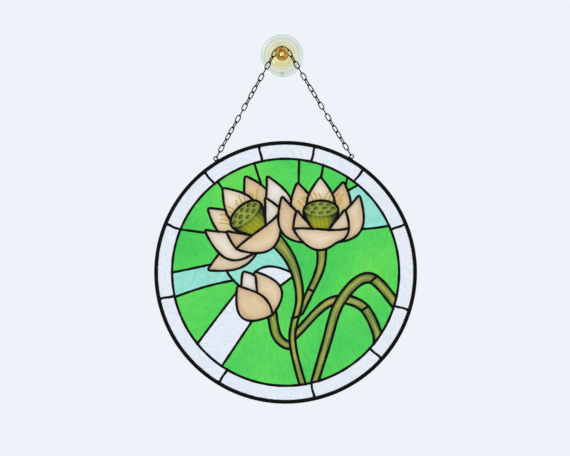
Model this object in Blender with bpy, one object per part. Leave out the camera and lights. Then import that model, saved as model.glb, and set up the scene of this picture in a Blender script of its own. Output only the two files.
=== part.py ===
# Round stained glass panel with two lotus blossoms and a bud, hung on a fine chain
# from a clear suction cup.  The origin is the middle of the cup's flat back, which
# lies on the window pane.  The front of the panel faces -Y and +Z is up.
# Sizes are in millimetres, and the meshes are made in metres.

import math

import bmesh
import bpy
from mathutils import Matrix, Vector
from mathutils.geometry import delaunay_2d_cdt, intersect_line_line_2d

# Driving sizes
PANEL_DIAMETER = 300.0
HANG_DROP = 248.6            # cup middle down to panel middle
LOOP_ANGLE = 30.6            # each loop's angle from the top of the rim, degrees
RIM_WIDTH = 4.3              # rim as seen from the front
RIM_DEPTH = 6.6
RIM_LIP = 1.2                # wall of the rim in front of and behind the glass
BORDER_WIDTH = 16.1          # rim to the middle of the ring round the picture
LEAD_WIDTH = 2.4
LEAD_DEPTH = 5.0
GLASS_THICKNESS = 3.0
FIT_GAP = 0.3
LINK_LENGTH = 10.2
LINK_WIDTH = 5.9
LINK_WIRE = 1.3
LOOP_DIAMETER = 5.8
LOOP_WIRE = 1.3
CUP_DIAMETER = 50.0
CUP_HEIGHT = 9.0             # window pane to the start of the neck
NECK_DIAMETER = 10.0
KNOB_DIAMETER = 15.0
KNOB_LENGTH = 6.2
PEG_DIAMETER = 5.0           # peg of the cup that shows in the knob's hole

# Sizes that follow from them
PANEL_RADIUS = PANEL_DIAMETER / 2
RIM_INSIDE = PANEL_RADIUS - RIM_WIDTH
PICTURE_RADIUS = RIM_INSIDE - BORDER_WIDTH
HALF_LEAD = LEAD_WIDTH / 2
NECK_LENGTH = LINK_WIDTH + 2.2
MIDDLE_DEPTH = CUP_HEIGHT + NECK_LENGTH / 2
LINK_PRESS = 0.2             # depth by which one link presses into the next
SOLDER_DEPTH = 0.5           # depth to which the loops are sunk into the rim

# How finely curves are drawn
CURVE_SLACK = 0.6
RIM_SIDES = 52
SMALLEST_PANE = 0.0035       # as a share of the square of the picture's radius

# Angles of the cuts in the clear border, degrees anticlockwise from the right
BORDER_CUTS = (21, 52, 76, 101, 128, 157, 191, 238, 282, 317, 342)

# Red, green, blue, roughness and metallic of each kind of material
LOOKS = {
    "clear plastic": (0.86, 0.87, 0.80, 0.08, 0.0),
    "brass": (0.72, 0.49, 0.16, 0.25, 1.0),
    "dark steel": (0.06, 0.045, 0.035, 0.45, 1.0),
    "black lead": (0.03, 0.03, 0.032, 0.45, 1.0),
    "clear glass": (0.80, 0.86, 0.95, 0.12, 0.0),
    "green glass": (0.10, 0.62, 0.13, 0.10, 0.0),
    "aqua glass": (0.33, 0.84, 0.68, 0.10, 0.0),
    "petal glass": (0.80, 0.67, 0.52, 0.15, 0.0),
    "pod glass": (0.28, 0.34, 0.05, 0.20, 0.0),
    "stem glass": (0.25, 0.31, 0.04, 0.15, 0.0),
}


# Making objects

def clear_scene():
    for thing in list(bpy.data.objects):
        bpy.data.objects.remove(thing, do_unlink=True)


def material(name, look):
    red, green, blue, roughness, metallic = LOOKS[look]
    made = bpy.data.materials.new(name)
    made.use_nodes = True
    shader = made.node_tree.nodes["Principled BSDF"]
    shader.inputs["Base Color"].default_value = (red, green, blue, 1.0)
    shader.inputs["Roughness"].default_value = roughness
    shader.inputs["Metallic"].default_value = metallic
    made.diffuse_color = (red, green, blue, 1.0)
    return made


def add_object(name, look, shape, place, rounded=False):
    # a shape in millimetres becomes a named object, in metres, at its place
    bmesh.ops.recalc_face_normals(shape, faces=shape.faces)
    bmesh.ops.scale(shape, vec=(0.001, 0.001, 0.001), verts=shape.verts)
    mesh = bpy.data.meshes.new(name)
    shape.to_mesh(mesh)
    shape.free()
    if rounded:
        mesh.shade_smooth()
        mesh.set_sharp_from_angle(angle=math.radians(50))
    mesh.materials.append(material(name, look))
    made = bpy.data.objects.new(name, mesh)
    made.location = place * 0.001
    bpy.context.scene.collection.objects.link(made)
    return made


def joined(body, others):
    # the body takes in the others, which are then out of sight
    join = body.modifiers.new("join", "BOOLEAN")
    join.operation = "UNION"
    join.solver = "EXACT"
    join.object = others
    others.hide_render = True
    others.hide_set(True)
    others.display_type = "WIRE"


def turned(profile, sides, closed):
    # points of (radius, depth) turned about the Y axis, with the front at greater depth
    shape = bmesh.new()
    points = [shape.verts.new((radius, -depth, 0.0)) for radius, depth in profile]
    lines = [shape.edges.new(pair) for pair in zip(points, points[1:])]
    if closed:
        lines.append(shape.edges.new((points[-1], points[0])))
    bmesh.ops.spin(shape, geom=points + lines, cent=(0, 0, 0), axis=(0, 1, 0),
                   angle=2 * math.pi, steps=sides, use_merge=True)
    bmesh.ops.remove_doubles(shape, verts=shape.verts, dist=0.001)
    return shape


def plate(outline, holes, thickness):
    # a flat plate with upright sides, its middle plane at y = 0
    corners, faces = [], []
    for loop in [outline] + holes:
        faces.append(list(range(len(corners), len(corners) + len(loop))))
        corners += loop
    flat, _, cells, _, _, origins = delaunay_2d_cdt(corners, [], faces, 1, 0.001)
    shape = bmesh.new()
    points = [shape.verts.new((point.x, -thickness / 2, point.y)) for point in flat]
    for cell, origin in zip(cells, origins):
        if set(origin) == {0}:
            shape.faces.new([points[corner] for corner in cell])
    raised = bmesh.ops.extrude_face_region(shape, geom=shape.faces[:])["geom"]
    backs = [item for item in raised if isinstance(item, bmesh.types.BMVert)]
    bmesh.ops.translate(shape, vec=(0.0, thickness, 0.0), verts=backs)
    bmesh.ops.delete(shape, geom=[v for v in shape.verts if not v.link_faces], context="VERTS")
    return shape


# Flat shapes of the picture, with the picture's radius as 1

def direction(degrees):
    angle = math.radians(degrees)
    return Vector((math.cos(angle), math.sin(angle)))


def petal(base, tip, width, bow=0.0, fullness=0.85, steps=14):
    # a pointed oval, its middle line bowed to the left of the way from base to tip
    base, tip = Vector(base), Vector(tip)
    axis = tip - base
    left = Vector((-axis.y, axis.x)).normalized()
    one_side, other_side = [], []
    for i in range(1, steps):
        t = i / steps
        middle = base + axis * t + left * bow * 4 * t * (1 - t)
        half = width / 2 * math.sin(math.pi * t ** fullness)
        one_side.append(middle - left * half)
        other_side.append(middle + left * half)
    return [base] + one_side + [tip] + other_side[::-1]


def seed_pod(middle, tilt, width, height, steps=22):
    # an oval top over a body that narrows downwards
    up, right = direction(tilt + 90), direction(tilt)
    outline = []
    for i in range(steps):
        angle = 2 * math.pi * i / steps
        across, along = math.cos(angle), math.sin(angle)
        if along < 0:
            across *= 1 - 0.42 * along * along
            along *= 2.2
        outline.append(Vector(middle) + right * across * width / 2 + up * along * height / 3.2)
    return outline


def curve(points, steps=9):
    # a smooth curve through the points
    points = [Vector(p) for p in points]
    points = [2 * points[0] - points[1]] + points + [2 * points[-1] - points[-2]]
    drawn = []
    for i in range(1, len(points) - 2):
        a, b, c, d = points[i - 1:i + 3]
        for k in range(steps):
            t = k / steps
            drawn.append(0.5 * (2 * b + (c - a) * t + (2 * a - 5 * b + 4 * c - d) * t * t
                                + (3 * b - a - 3 * c + d) * t ** 3))
    return drawn + [points[-2]]


def band(points, first, middle, last):
    # a strip along a curve with its width at the start, the middle and the end
    line = curve(points)
    one_side, other_side = [], []
    for i, here in enumerate(line):
        along = (line[min(i + 1, len(line) - 1)] - line[max(i - 1, 0)]).normalized()
        left = Vector((-along.y, along.x))
        t = i / (len(line) - 1)
        width = first * (1 - t) * (1 - 2 * t) + middle * 4 * t * (1 - t) + last * t * (2 * t - 1)
        one_side.append(here - left * width / 2)
        other_side.append(here + left * width / 2)
    return one_side + other_side[::-1]


def flower(name, base, tilt, size, petals):
    # petals placed about an upright flower with its foot at (0, 0) and its top at (0, 1),
    # then leaned to the left by the tilt and brought to the flower's size and place
    up, right = direction(90 + tilt) * size, direction(tilt) * size
    foot = Vector(base)
    shapes = []
    for start, tip, width, bow in petals:
        ends = [foot + right * x + up * y for x, y in (start, tip)]
        shapes.append((name, petal(ends[0], ends[1], width * size, bow * size)))
    return shapes


def both_sides(start, tip, width, bow):
    # a petal and its mirror image
    return [((-start[0], start[1]), (-tip[0], tip[1]), width, bow), (start, tip, width, -bow)]


def blossom(side, base, tilt, size, drooping):
    # petals behind the seed pod, the pod, and the petals that cup it in front
    behind = both_sides((0.1, 0.3), (0.33, 0.93), 0.34, 0.05) + [((0, 0.3), (0, 1), 0.40, 0)]
    before = both_sides((0.1, 0.06), (0.55, 0.74), 0.36, 0.12)
    before += both_sides((0.02, 0.04), (0.34, 0.54), 0.26, 0.10)
    before.append(((-0.40, 0.26), (0.40, 0.26), 0.30, -0.16))
    pod_middle = Vector(base) + direction(90 + tilt) * 0.52 * size
    shapes = flower(side + "_blossom_petal", base, tilt, size, behind + drooping)
    shapes.append((side + "_blossom_pod", seed_pod(pod_middle, tilt, 0.5 * size, 0.44 * size)))
    return shapes + flower(side + "_blossom_petal", base, tilt, size, before)


def picture_shapes():
    # every shape of the picture from the rearmost to the foremost
    shapes = [
        ("aqua_pane", band([(-1.1, -0.12), (-0.7, -0.02), (-0.3, 0.06)], 0.24, 0.18, 0.2)),
        ("aqua_pane", petal((-0.52, 0.02), (0.08, 0.03), 0.44, 0.02)),
        ("aqua_pane", band([(0.4, 0.50), (0.75, 0.58), (1.2, 0.75)], 0.25, 0.42, 0.6)),
        ("clear_pane", petal((-0.36, -0.16), (0.09, -0.02), 0.22, 0.04)),
        ("clear_pane", band([(-0.3, -0.2), (-0.56, -0.55), (-0.85, -0.95)], 0.25, 0.28, 0.3)),
        ("leaf_ribbon", band([(0.05, -0.58), (0.38, -0.27), (0.66, -0.30), (0.80, -0.56),
                              (0.78, -0.75)], 0.055, 0.075, 0.07)),
        ("leaf_ribbon", band([(0.20, -1.10), (0.34, -0.66), (0.48, -0.26), (0.74, -0.06),
                              (1.02, -0.36)], 0.055, 0.08, 0.08)),
        ("stem", band([(0.32, 0.3), (0.31, 0.05), (0.20, -0.20), (0.08, -0.44)],
                      0.09, 0.06, 0.055)),
        ("stem", band([(-0.13, -0.34), (-0.09, -0.55), (0.0, -0.64), (0.08, -0.62)],
                      0.08, 0.07, 0.06)),
        ("stem", band([(-0.14, 0.36), (0.05, 0.10), (0.12, -0.22), (0.05, -0.6), (0.16, -1.1)],
                      0.13, 0.06, 0.06)),
    ]
    shapes += flower("bud_petal", (-0.13, -0.38), 34, 0.47, [
        ((0, 0.3), (0.04, 1.0), 0.44, 0.0), ((0, 0), (0.22, 0.86), 0.46, -0.12),
        ((0.02, 0), (-0.2, 0.84), 0.56, 0.13)])
    drooping = [((-0.1, 0.1), (-0.88, 0.30), 0.34, 0.0)]
    shapes += blossom("left", (-0.12, 0.25), 40, 0.66, drooping)
    shapes += blossom("right", (0.32, 0.22), 0, 0.62, [])
    return shapes


def background_cuts():
    # straight cuts in the green glass, each from a place in the picture past its edge
    return [((0.12, 0.6), (0.14, 1.1)), ((-0.3, 0.3), (-1.1, 0.42))]


# Cutting the picture into panes

def cross(a, b):
    return a.x * b.y - a.y * b.x


def area(loop):
    return sum(cross(loop[i - 1], loop[i]) for i in range(len(loop))) / 2


def pane_cells(shapes, cuts):
    # triangles of the whole picture, each with the number of the foremost shape over it,
    # and the edges that lie on a cut
    disc = [direction(360 * i / 96) for i in range(96)]
    corners, edges, faces = [], [], []
    for outline in [disc] + [outline for _, outline in shapes]:
        faces.append(list(range(len(corners), len(corners) + len(outline))))
        corners += [point * PICTURE_RADIUS for point in outline]
    for start, end in cuts:
        edges.append((len(corners), len(corners) + 1))
        corners += [Vector(start) * PICTURE_RADIUS, Vector(end) * PICTURE_RADIUS]
    flat, lines, cells, _, line_origins, origins = delaunay_2d_cdt(corners, edges, faces, 0, 0.01)
    cells = [(tuple(cell), max(origin)) for cell, origin in zip(cells, origins) if 0 in origin]
    cut_edges = {frozenset(line) for line, origin in zip(lines, line_origins)
                 if any(number < len(edges) for number in origin)}
    return flat, cells, cut_edges


def grow_panes(flat, cells, cut_edges):
    # touching triangles of one shape make a pane, and scraps join their longest neighbour
    beside = {}
    for number, (cell, _) in enumerate(cells):
        for i in range(3):
            beside.setdefault(frozenset((cell[i - 1], cell[i])), []).append(number)
    pane_of = [None] * len(cells)
    panes = []
    for start in range(len(cells)):
        if pane_of[start] is not None:
            continue
        pane_of[start] = len(panes)
        members, owner = [start], cells[start][1]
        for number in members:
            cell = cells[number][0]
            for i in range(3):
                edge = frozenset((cell[i - 1], cell[i]))
                if owner == 0 and edge in cut_edges:
                    continue
                for other in beside[edge]:
                    if pane_of[other] is None and cells[other][1] == owner:
                        pane_of[other] = len(panes)
                        members.append(other)
        panes.append(members)

    def size(members):
        return sum(abs(area([flat[c] for c in cells[n][0]])) for n in members)

    smallest = SMALLEST_PANE * PICTURE_RADIUS ** 2
    for number in sorted(range(len(panes)), key=lambda n: size(panes[n])):
        if size(panes[number]) > smallest:
            break
        shared = {}
        for member in panes[number]:
            cell = cells[member][0]
            for i in range(3):
                for other in beside[frozenset((cell[i - 1], cell[i]))]:
                    if pane_of[other] != number:
                        length = (flat[cell[i]] - flat[cell[i - 1]]).length
                        shared[pane_of[other]] = shared.get(pane_of[other], 0.0) + length
        host = max(shared, key=lambda n: (shared[n], n))
        for member in panes[number]:
            pane_of[member] = host
        panes[host] = panes[host] + panes[number]
        panes[number] = []
    return [members for members in panes if members]


def pane_loops(cells, panes):
    # the outer corners of each pane in order, anticlockwise
    loops = []
    for members in panes:
        sides = {(cells[n][0][i - 1], cells[n][0][i]) for n in members for i in range(3)}
        onward = {}
        for a, b in sorted(sides):
            if (b, a) not in sides:
                onward.setdefault(a, []).append(b)
        found = []
        while onward:
            start = min(onward)
            loop, here = [start], onward[start].pop()
            while here != start:
                loop.append(here)
                here = onward[here].pop()
            onward = {a: ends for a, ends in onward.items() if ends}
            found.append(loop)
        loops.append(max(found, key=len))
    return loops


def corners_that_count(flat, chain):
    # the corners of a chain that it needs to stay within the slack
    first, last = flat[chain[0]], flat[chain[-1]]
    span = last - first
    furthest, distance = None, CURVE_SLACK
    for i in range(1, len(chain) - 1):
        away = flat[chain[i]] - first
        off = abs(cross(span, away)) / span.length if span.length > 0.001 else away.length
        if off > distance:
            furthest, distance = i, off
    if furthest is None:
        return {chain[0], chain[-1]}
    return (corners_that_count(flat, chain[:furthest + 1])
            | corners_that_count(flat, chain[furthest:]))


def thinned(flat, loops):
    # both panes beside a lead line keep the same corners of it
    neighbours = {}
    for loop in loops:
        for i in range(len(loop)):
            neighbours.setdefault(loop[i], set()).update((loop[i - 1], loop[(i + 1) % len(loop)]))
    kept = {corner for corner, ends in neighbours.items() if len(ends) > 2}
    for loop in loops:
        meetings = [i for i, corner in enumerate(loop) if len(neighbours[corner]) > 2]
        meetings = meetings or [0]
        for k, start in enumerate(meetings):
            end = meetings[(k + 1) % len(meetings)]
            end = end if end > start else end + len(loop)
            chain = [loop[i % len(loop)] for i in range(start, end + 1)]
            kept |= corners_that_count(flat, min(chain, chain[::-1]))
    return [[flat[corner] for corner in loop if corner in kept] for loop in loops]


def largest_loop(loop):
    # where an outline crosses itself, only its largest part is kept
    count = len(loop)
    for i in range(count):
        for j in range(i + 2, count):
            if (j + 1) % count == i:
                continue
            meeting = intersect_line_line_2d(loop[i], loop[i + 1], loop[j], loop[(j + 1) % count])
            if meeting:
                inner = [meeting] + loop[i + 1:j + 1]
                outer = [meeting] + loop[j + 1:] + loop[:i + 1]
                return max(largest_loop(inner), largest_loop(outer), key=area)
    return loop


def drawn_in(loop, distance):
    # the outline with every side moved inwards
    moved = []
    for i, here in enumerate(loop):
        before = (here - loop[i - 1]).normalized()
        after = (loop[(i + 1) % len(loop)] - here).normalized()
        left_before, left_after = Vector((-before.y, before.x)), Vector((-after.y, after.x))
        if cross(before, after) < 0 and before.dot(after) < 0:
            slant = math.tan(before.angle(after) / 4)
            moved.append(here + (left_before + before * slant) * distance)
            moved.append(here + (left_after - after * slant) * distance)
        else:
            lean = 1 + left_before.dot(left_after)
            moved.append(here + (left_before + left_after) * distance / lean)
    moved = largest_loop(moved)
    spaced = [point for i, point in enumerate(moved) if (point - moved[i - 1]).length > 0.15]
    return spaced


def picture_panes():
    # each pane's name stem, its lead opening and its glass outline
    shapes = picture_shapes()
    flat, cells, cut_edges = pane_cells(shapes, background_cuts())
    panes = grow_panes(flat, cells, cut_edges)
    loops = thinned(flat, pane_loops(cells, panes))
    found = []
    for members, loop in zip(panes, loops):
        owner = cells[members[0]][1]
        stem = "green_pane" if owner == 0 else shapes[owner - 1][0]
        opening = drawn_in(loop, HALF_LEAD)
        found.append((stem, opening, drawn_in(opening, FIT_GAP)))
    return found


# Border and lead

def arc(radius, start, end, keep_off):
    # points on a circle between two cuts, each end kept off its cut
    short = math.degrees(math.asin(keep_off / radius))
    first, last = start + short, end - short
    steps = math.ceil((last - first) * RIM_SIDES / 360)
    return [direction(first + (last - first) * k / steps) * radius for k in range(steps + 1)]


def border_spans():
    return list(zip(BORDER_CUTS, BORDER_CUTS[1:] + (BORDER_CUTS[0] + 360,)))


def border_pane(start, end):
    inner = PICTURE_RADIUS + HALF_LEAD + FIT_GAP
    outer = PANEL_RADIUS - RIM_LIP - 2 * FIT_GAP
    keep_off = HALF_LEAD + FIT_GAP
    return arc(outer, start, end, keep_off) + arc(inner, start, end, keep_off)[::-1]


def lead_outline():
    # the ring round the picture with a spoke at each cut of the border
    inner, outer = PICTURE_RADIUS + HALF_LEAD, RIM_INSIDE - 2 * FIT_GAP
    outline = []
    for start, end in border_spans():
        out = direction(start)
        across = Vector((-out.y, out.x)) * HALF_LEAD
        outline += [out * outer - across, out * outer + across]
        outline += arc(inner, start, end, HALF_LEAD)
    return outline


def rim_profile():
    # a channel that opens towards the middle and holds the edge of the border's glass
    half, slot = RIM_DEPTH / 2, GLASS_THICKNESS / 2 + FIT_GAP
    floor = PANEL_RADIUS - RIM_LIP
    return [
        (RIM_INSIDE, -half), (PANEL_RADIUS, -half), (PANEL_RADIUS, half), (RIM_INSIDE, half),
        (RIM_INSIDE, slot), (floor, slot), (floor, -slot), (RIM_INSIDE, -slot),
    ]


# Cup and knob

def cup_profile():
    radius, neck, peg = CUP_DIAMETER / 2, NECK_DIAMETER / 2, PEG_DIAMETER / 2
    rise = CUP_HEIGHT
    shoulder = CUP_HEIGHT + NECK_LENGTH
    return [
        (0.0, 0.0), (radius, 0.0), (radius, 0.1 * rise), (0.82 * radius, 0.2 * rise),
        (0.77 * radius, 0.32 * rise), (0.5 * radius, 0.5 * rise), (0.34 * radius, 0.85 * rise),
        (neck, rise), (neck, shoulder), (peg, shoulder), (peg, shoulder + KNOB_LENGTH + 0.6),
        (0.0, shoulder + KNOB_LENGTH + 1.0),
    ]


def knob_profile():
    hole, radius = PEG_DIAMETER / 2 + FIT_GAP, KNOB_DIAMETER / 2
    back = CUP_HEIGHT + NECK_LENGTH + FIT_GAP
    front = back + KNOB_LENGTH
    return [
        (hole, back), (0.82 * radius, back), (radius, back + 0.3 * KNOB_LENGTH),
        (radius, back + 0.6 * KNOB_LENGTH), (0.84 * radius, front - 0.1 * KNOB_LENGTH),
        (0.62 * radius, front), (hole, front - 0.25 * KNOB_LENGTH),
    ]


# Loops and chain

def loop_middle(side):
    # in the panel's plane, from the panel's middle
    reach = PANEL_RADIUS + LOOP_DIAMETER / 2 - SOLDER_DEPTH
    return direction(90 - side * LOOP_ANGLE).to_3d().xzy * reach


def add_wire(shape, path, flat_normal, thickness):
    # a closed square wire along points that lie in one plane
    half, count = thickness / 2, len(path)
    rings = []
    for i, here in enumerate(path):
        before = (here - path[i - 1]).normalized()
        after = (path[(i + 1) % count] - here).normalized()
        outwards = (before + after).normalized().cross(flat_normal)
        outwards *= half / math.cos(before.angle(after) / 2)
        upwards = flat_normal * half
        rings.append([shape.verts.new(here + outwards * across + upwards * up)
                      for across, up in ((1, 1), (1, -1), (-1, -1), (-1, 1))])
    for i, ring in enumerate(rings):
        before = rings[i - 1]
        for k in range(4):
            shape.faces.new((before[k - 1], before[k], ring[k], ring[k - 1]))


def hanging_loops(sides=10):
    # two small rings that are soldered to the rim
    radius = (LOOP_DIAMETER - LOOP_WIRE) / 2
    shape = bmesh.new()
    for side in (-1, 1):
        ring = [loop_middle(side) + direction(360 * k / sides).to_3d().xzy * radius
                for k in range(sides)]
        add_wire(shape, ring, Vector((0.0, 1.0, 0.0)), LOOP_WIRE)
    return shape


def chain_contacts():
    # where the links of the right-hand half touch, from over the neck down to the loop
    pitch = LINK_LENGTH - 2 * LINK_WIRE + LINK_PRESS
    corner = LINK_WIRE * math.sqrt(0.5)
    clear = (LINK_WIDTH - LINK_WIRE) * 0.5 * math.sqrt(0.5) + corner + FIT_GAP
    top = math.hypot(NECK_DIAMETER / 2 + clear, pitch / 2)
    eye = loop_middle(1) - Vector((0.0, 0.0, HANG_DROP))
    rest = LOOP_DIAMETER / 2 - LOOP_WIRE - corner - FIT_GAP + (LINK_WIRE - LINK_PRESS) / 2
    for _ in range(12):
        turn = 2 * math.asin(pitch / (2 * top))
        second = Vector((math.sin(turn), 0.0, math.cos(turn))) * top
        last = eye + (second - eye).normalized() * rest
        count = 2 * round((last - second).length / (LINK_LENGTH - 2 * LINK_WIRE) / 2)
        pitch = (last - second).length / count
    run = [second.lerp(last, k / count) for k in range(count + 1)]
    return [Vector((0.0, 0.0, top))] + run


def add_link(shape, start, end, roll):
    # one long link between two contacts, turned about its length by the roll
    along = (end - start).normalized()
    across = Matrix.Rotation(roll, 3, along) @ Vector((0.0, 1.0, 0.0)).cross(along)
    half_length = (end - start).length / 2 + (LINK_WIRE - LINK_PRESS) / 2
    half_width = (LINK_WIDTH - LINK_WIRE) / 2
    corners = ((1, -0.5), (1, 0.5), (0, 1), (-1, 0.5), (-1, -0.5), (0, -1))
    path = [(start + end) / 2 + along * half_length * a + across * half_width * b
            for a, b in corners]
    add_wire(shape, path, along.cross(across), LINK_WIRE)


def hanging_chain():
    # every second link in one set, and the links between them in the other
    contacts = chain_contacts()
    last = len(contacts) - 2
    swing = (45 - 90 * last) % 180 + 180
    sets = [bmesh.new(), bmesh.new()]
    for side in (1, -1):
        for i in range(last + 1):
            start, end = [Vector((side * p.x, p.y, p.z)) for p in contacts[i:i + 2]]
            roll = side * math.radians(45 + 90 * i + swing * i / last)
            add_link(sets[(i + (side < 0)) % 2], start, end, roll)
    return sets


LOOK_OF_STEM = {
    "green_pane": "green glass", "aqua_pane": "aqua glass", "clear_pane": "clear glass",
    "bud_petal": "petal glass", "left_blossom_petal": "petal glass",
    "right_blossom_petal": "petal glass", "left_blossom_pod": "pod glass",
    "right_blossom_pod": "pod glass", "stem": "stem glass", "leaf_ribbon": "stem glass",
}


def build():
    clear_scene()
    wall = Vector((0.0, 0.0, 0.0))
    neck = Vector((0.0, -MIDDLE_DEPTH, 0.0))
    panel = Vector((0.0, -MIDDLE_DEPTH, -HANG_DROP))
    add_object("suction_cup", "clear plastic", turned(cup_profile(), 22, False), wall, True)
    add_object("brass_knob", "brass", turned(knob_profile(), 16, True), wall, True)
    links, links_between = hanging_chain()
    chain = add_object("hanging_chain", "dark steel", links, neck)
    joined(chain, add_object("links_between", "dark steel", links_between, neck))
    rim_shape = turned(rim_profile(), RIM_SIDES, True)
    rim = add_object("rim_with_loops", "black lead", rim_shape, panel, True)
    joined(rim, add_object("loops_apart", "black lead", hanging_loops(), panel))
    panes = picture_panes()
    openings = [opening for _, opening, _ in panes]
    add_object("lead_net", "black lead", plate(lead_outline(), openings, LEAD_DEPTH), panel)
    for i, (start, end) in enumerate(border_spans()):
        shape = plate(border_pane(start, end), [], GLASS_THICKNESS)
        add_object(f"border_pane_{i + 1:02d}", "clear glass", shape, panel)
    numbers = {}
    for stem, _, glass in panes:
        numbers[stem] = numbers.get(stem, 0) + 1
        name = stem if stem.endswith("pod") else f"{stem}_{numbers[stem]:02d}"
        add_object(name, LOOK_OF_STEM[stem], plate(glass, [], GLASS_THICKNESS), panel)


build()
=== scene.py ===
import math

import bpy
import numpy as np
from mathutils.geometry import delaunay_2d_cdt
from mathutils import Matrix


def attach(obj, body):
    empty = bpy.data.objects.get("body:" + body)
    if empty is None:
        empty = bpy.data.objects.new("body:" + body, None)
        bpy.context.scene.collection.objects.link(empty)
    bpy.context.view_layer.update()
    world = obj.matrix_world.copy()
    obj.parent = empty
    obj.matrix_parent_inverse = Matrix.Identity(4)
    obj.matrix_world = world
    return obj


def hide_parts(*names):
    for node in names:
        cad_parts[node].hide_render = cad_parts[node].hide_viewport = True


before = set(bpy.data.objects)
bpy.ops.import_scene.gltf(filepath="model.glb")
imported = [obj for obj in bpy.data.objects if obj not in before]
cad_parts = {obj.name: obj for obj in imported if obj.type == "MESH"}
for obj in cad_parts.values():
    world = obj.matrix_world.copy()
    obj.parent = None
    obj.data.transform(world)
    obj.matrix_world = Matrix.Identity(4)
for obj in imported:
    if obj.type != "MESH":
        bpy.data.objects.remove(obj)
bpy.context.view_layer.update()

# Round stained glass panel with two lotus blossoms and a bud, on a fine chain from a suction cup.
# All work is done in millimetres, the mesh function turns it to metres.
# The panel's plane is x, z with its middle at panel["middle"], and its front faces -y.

print("frame loaded")

panel = {
    "middle": (0.0, -13.05, -248.6),
    "radius": 150.0,
    "insideRim": 145.7,
    "glassOutside": 148.3,     # outer edge of the border's glass, inside the rim's channel
    "pictureRadius": 129.6,
    "glassHalf": 1.5,          # half the thickness of the glass
    "edgeInset": 0.5,          # glass edge to the middle of its lead line
    "borderCuts": (21, 52, 76, 101, 128, 157, 191, 238, 282, 317, 342),   # degrees from the right
}


# Small helpers

def linear(hexColour):
    # each sRGB channel c becomes c / 12.92 below 0.04045 and ((c + 0.055) / 1.055) ^ 2.4 above
    c = np.array([int(hexColour[i:i + 2], 16) for i in (1, 3, 5)]) / 255
    return (*np.where(c <= 0.04045, c / 12.92, ((c + 0.055) / 1.055) ** 2.4).tolist(), 1.0)


def plug(node, links):
    # each named input is fed by a socket, or by the first output of a node
    for name, source in links.items():
        socket = source if isinstance(source, bpy.types.NodeSocket) else source.outputs[0]
        node.id_data.links.new(socket, node.inputs[name])


def addNode(tree, kind, settings=None, links=None):
    # settings are sockets, properties or the stops of a ramp
    node = tree.nodes.new("ShaderNode" + kind)
    for name, value in (settings or {}).items():
        if name == "stops":
            while len(node.color_ramp.elements) < len(value):
                node.color_ramp.elements.new(0.5)
            for element, (place, colour) in zip(node.color_ramp.elements, value):
                element.position = place
                element.color = linear(colour)
        elif isinstance(name, int) or name in node.inputs:
            node.inputs[name].default_value = value
        else:
            setattr(node, name, value)
    plug(node, links or {})
    return node


def newMaterial(name, settings):
    # a material with its main shader's uniform values set on the shader itself
    made = bpy.data.materials.new(name)
    made.use_nodes = True
    tree = made.node_tree
    shader = tree.nodes["Principled BSDF"]
    for socket, value in settings.items():
        shader.inputs[socket].default_value = value
    return made, tree, shader


def gridFaces(rows, columns, wrapRows=False, wrapColumns=False):
    # quads between neighbouring points of a grid that is stored row by row
    r = np.arange(rows if wrapRows else rows - 1)[:, None]
    c = np.arange(columns if wrapColumns else columns - 1)[None, :]
    r2, c2 = (r + 1) % rows, (c + 1) % columns
    quads = np.stack([r * columns + c, r * columns + c2, r2 * columns + c2, r2 * columns + c], -1)
    return quads.reshape(-1, 4)


def putMesh(name, parts, material, middle=(0.0, 0.0, 0.0), values=None, sheet=None, sharpAngle=40):
    # parts are (points, faces) in millimetres, values are named numbers for each point
    allPoints, starts, corners = [], [], []
    count, cornerCount = 0, 0
    for points, faces in parts:
        points = np.asarray(points, float).reshape(-1, 3)
        for block in (faces if isinstance(faces, list) else [faces]):
            if len(block):
                starts.append(cornerCount + np.arange(len(block)) * block.shape[1])
                corners.append((block + count).ravel())
                cornerCount += block.size
        allPoints.append(points)
        count += len(points)
    points = (np.concatenate(allPoints) + np.array(middle)) * 0.001
    corners = np.concatenate(corners).astype(np.int32)
    starts = np.concatenate(starts).astype(np.int32)
    mesh = bpy.data.meshes.new(name)
    mesh.vertices.add(len(points))
    mesh.vertices.foreach_set("co", points.astype(np.float32).ravel())
    mesh.loops.add(len(corners))
    mesh.loops.foreach_set("vertex_index", corners)
    mesh.polygons.add(len(starts))
    mesh.polygons.foreach_set("loop_start", starts)
    mesh.update(calc_edges=True)
    for key, numbers in (values or {}).items():
        mesh.attributes.new(key, "FLOAT", "POINT").data.foreach_set("value", numbers.astype(np.float32))
    if sheet is not None:
        layer = mesh.uv_layers.new(name="sheet")
        layer.data.foreach_set("uv", sheet[corners].astype(np.float32).ravel())
    mesh.shade_smooth()
    mesh.set_sharp_from_angle(angle=math.radians(sharpAngle))
    mesh.materials.append(material)
    mesh.validate()
    made = bpy.data.objects.new(name, mesh)
    bpy.context.scene.collection.objects.link(made)
    return made


def direction(degrees):
    # (cos a, sin a) for each angle
    angle = np.radians(degrees)
    return np.stack([np.cos(angle), np.sin(angle)], -1)


def leaned(tilt):
    # vectors to the right and up of something that leans to the left by the tilt
    return direction(tilt), direction(90.0 + tilt)


def inPlane(flat, depth=0.0):
    # flat points of the panel, with the depth counted towards the front
    flat = np.asarray(flat, float)
    depth = np.broadcast_to(depth, flat.shape[:-1])
    return np.stack([flat[..., 0], -depth, flat[..., 1]], -1)


def endFans(rows, columns):
    # triangles from two points, stored after a grid, to the grid's first and last row
    ring = np.arange(columns)
    after, last = np.roll(ring, -1), (rows - 1) * columns
    first = np.full(columns, rows * columns)
    return [np.stack([first, after, ring], -1), np.stack([first + 1, last + ring, last + after], -1)]


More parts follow.
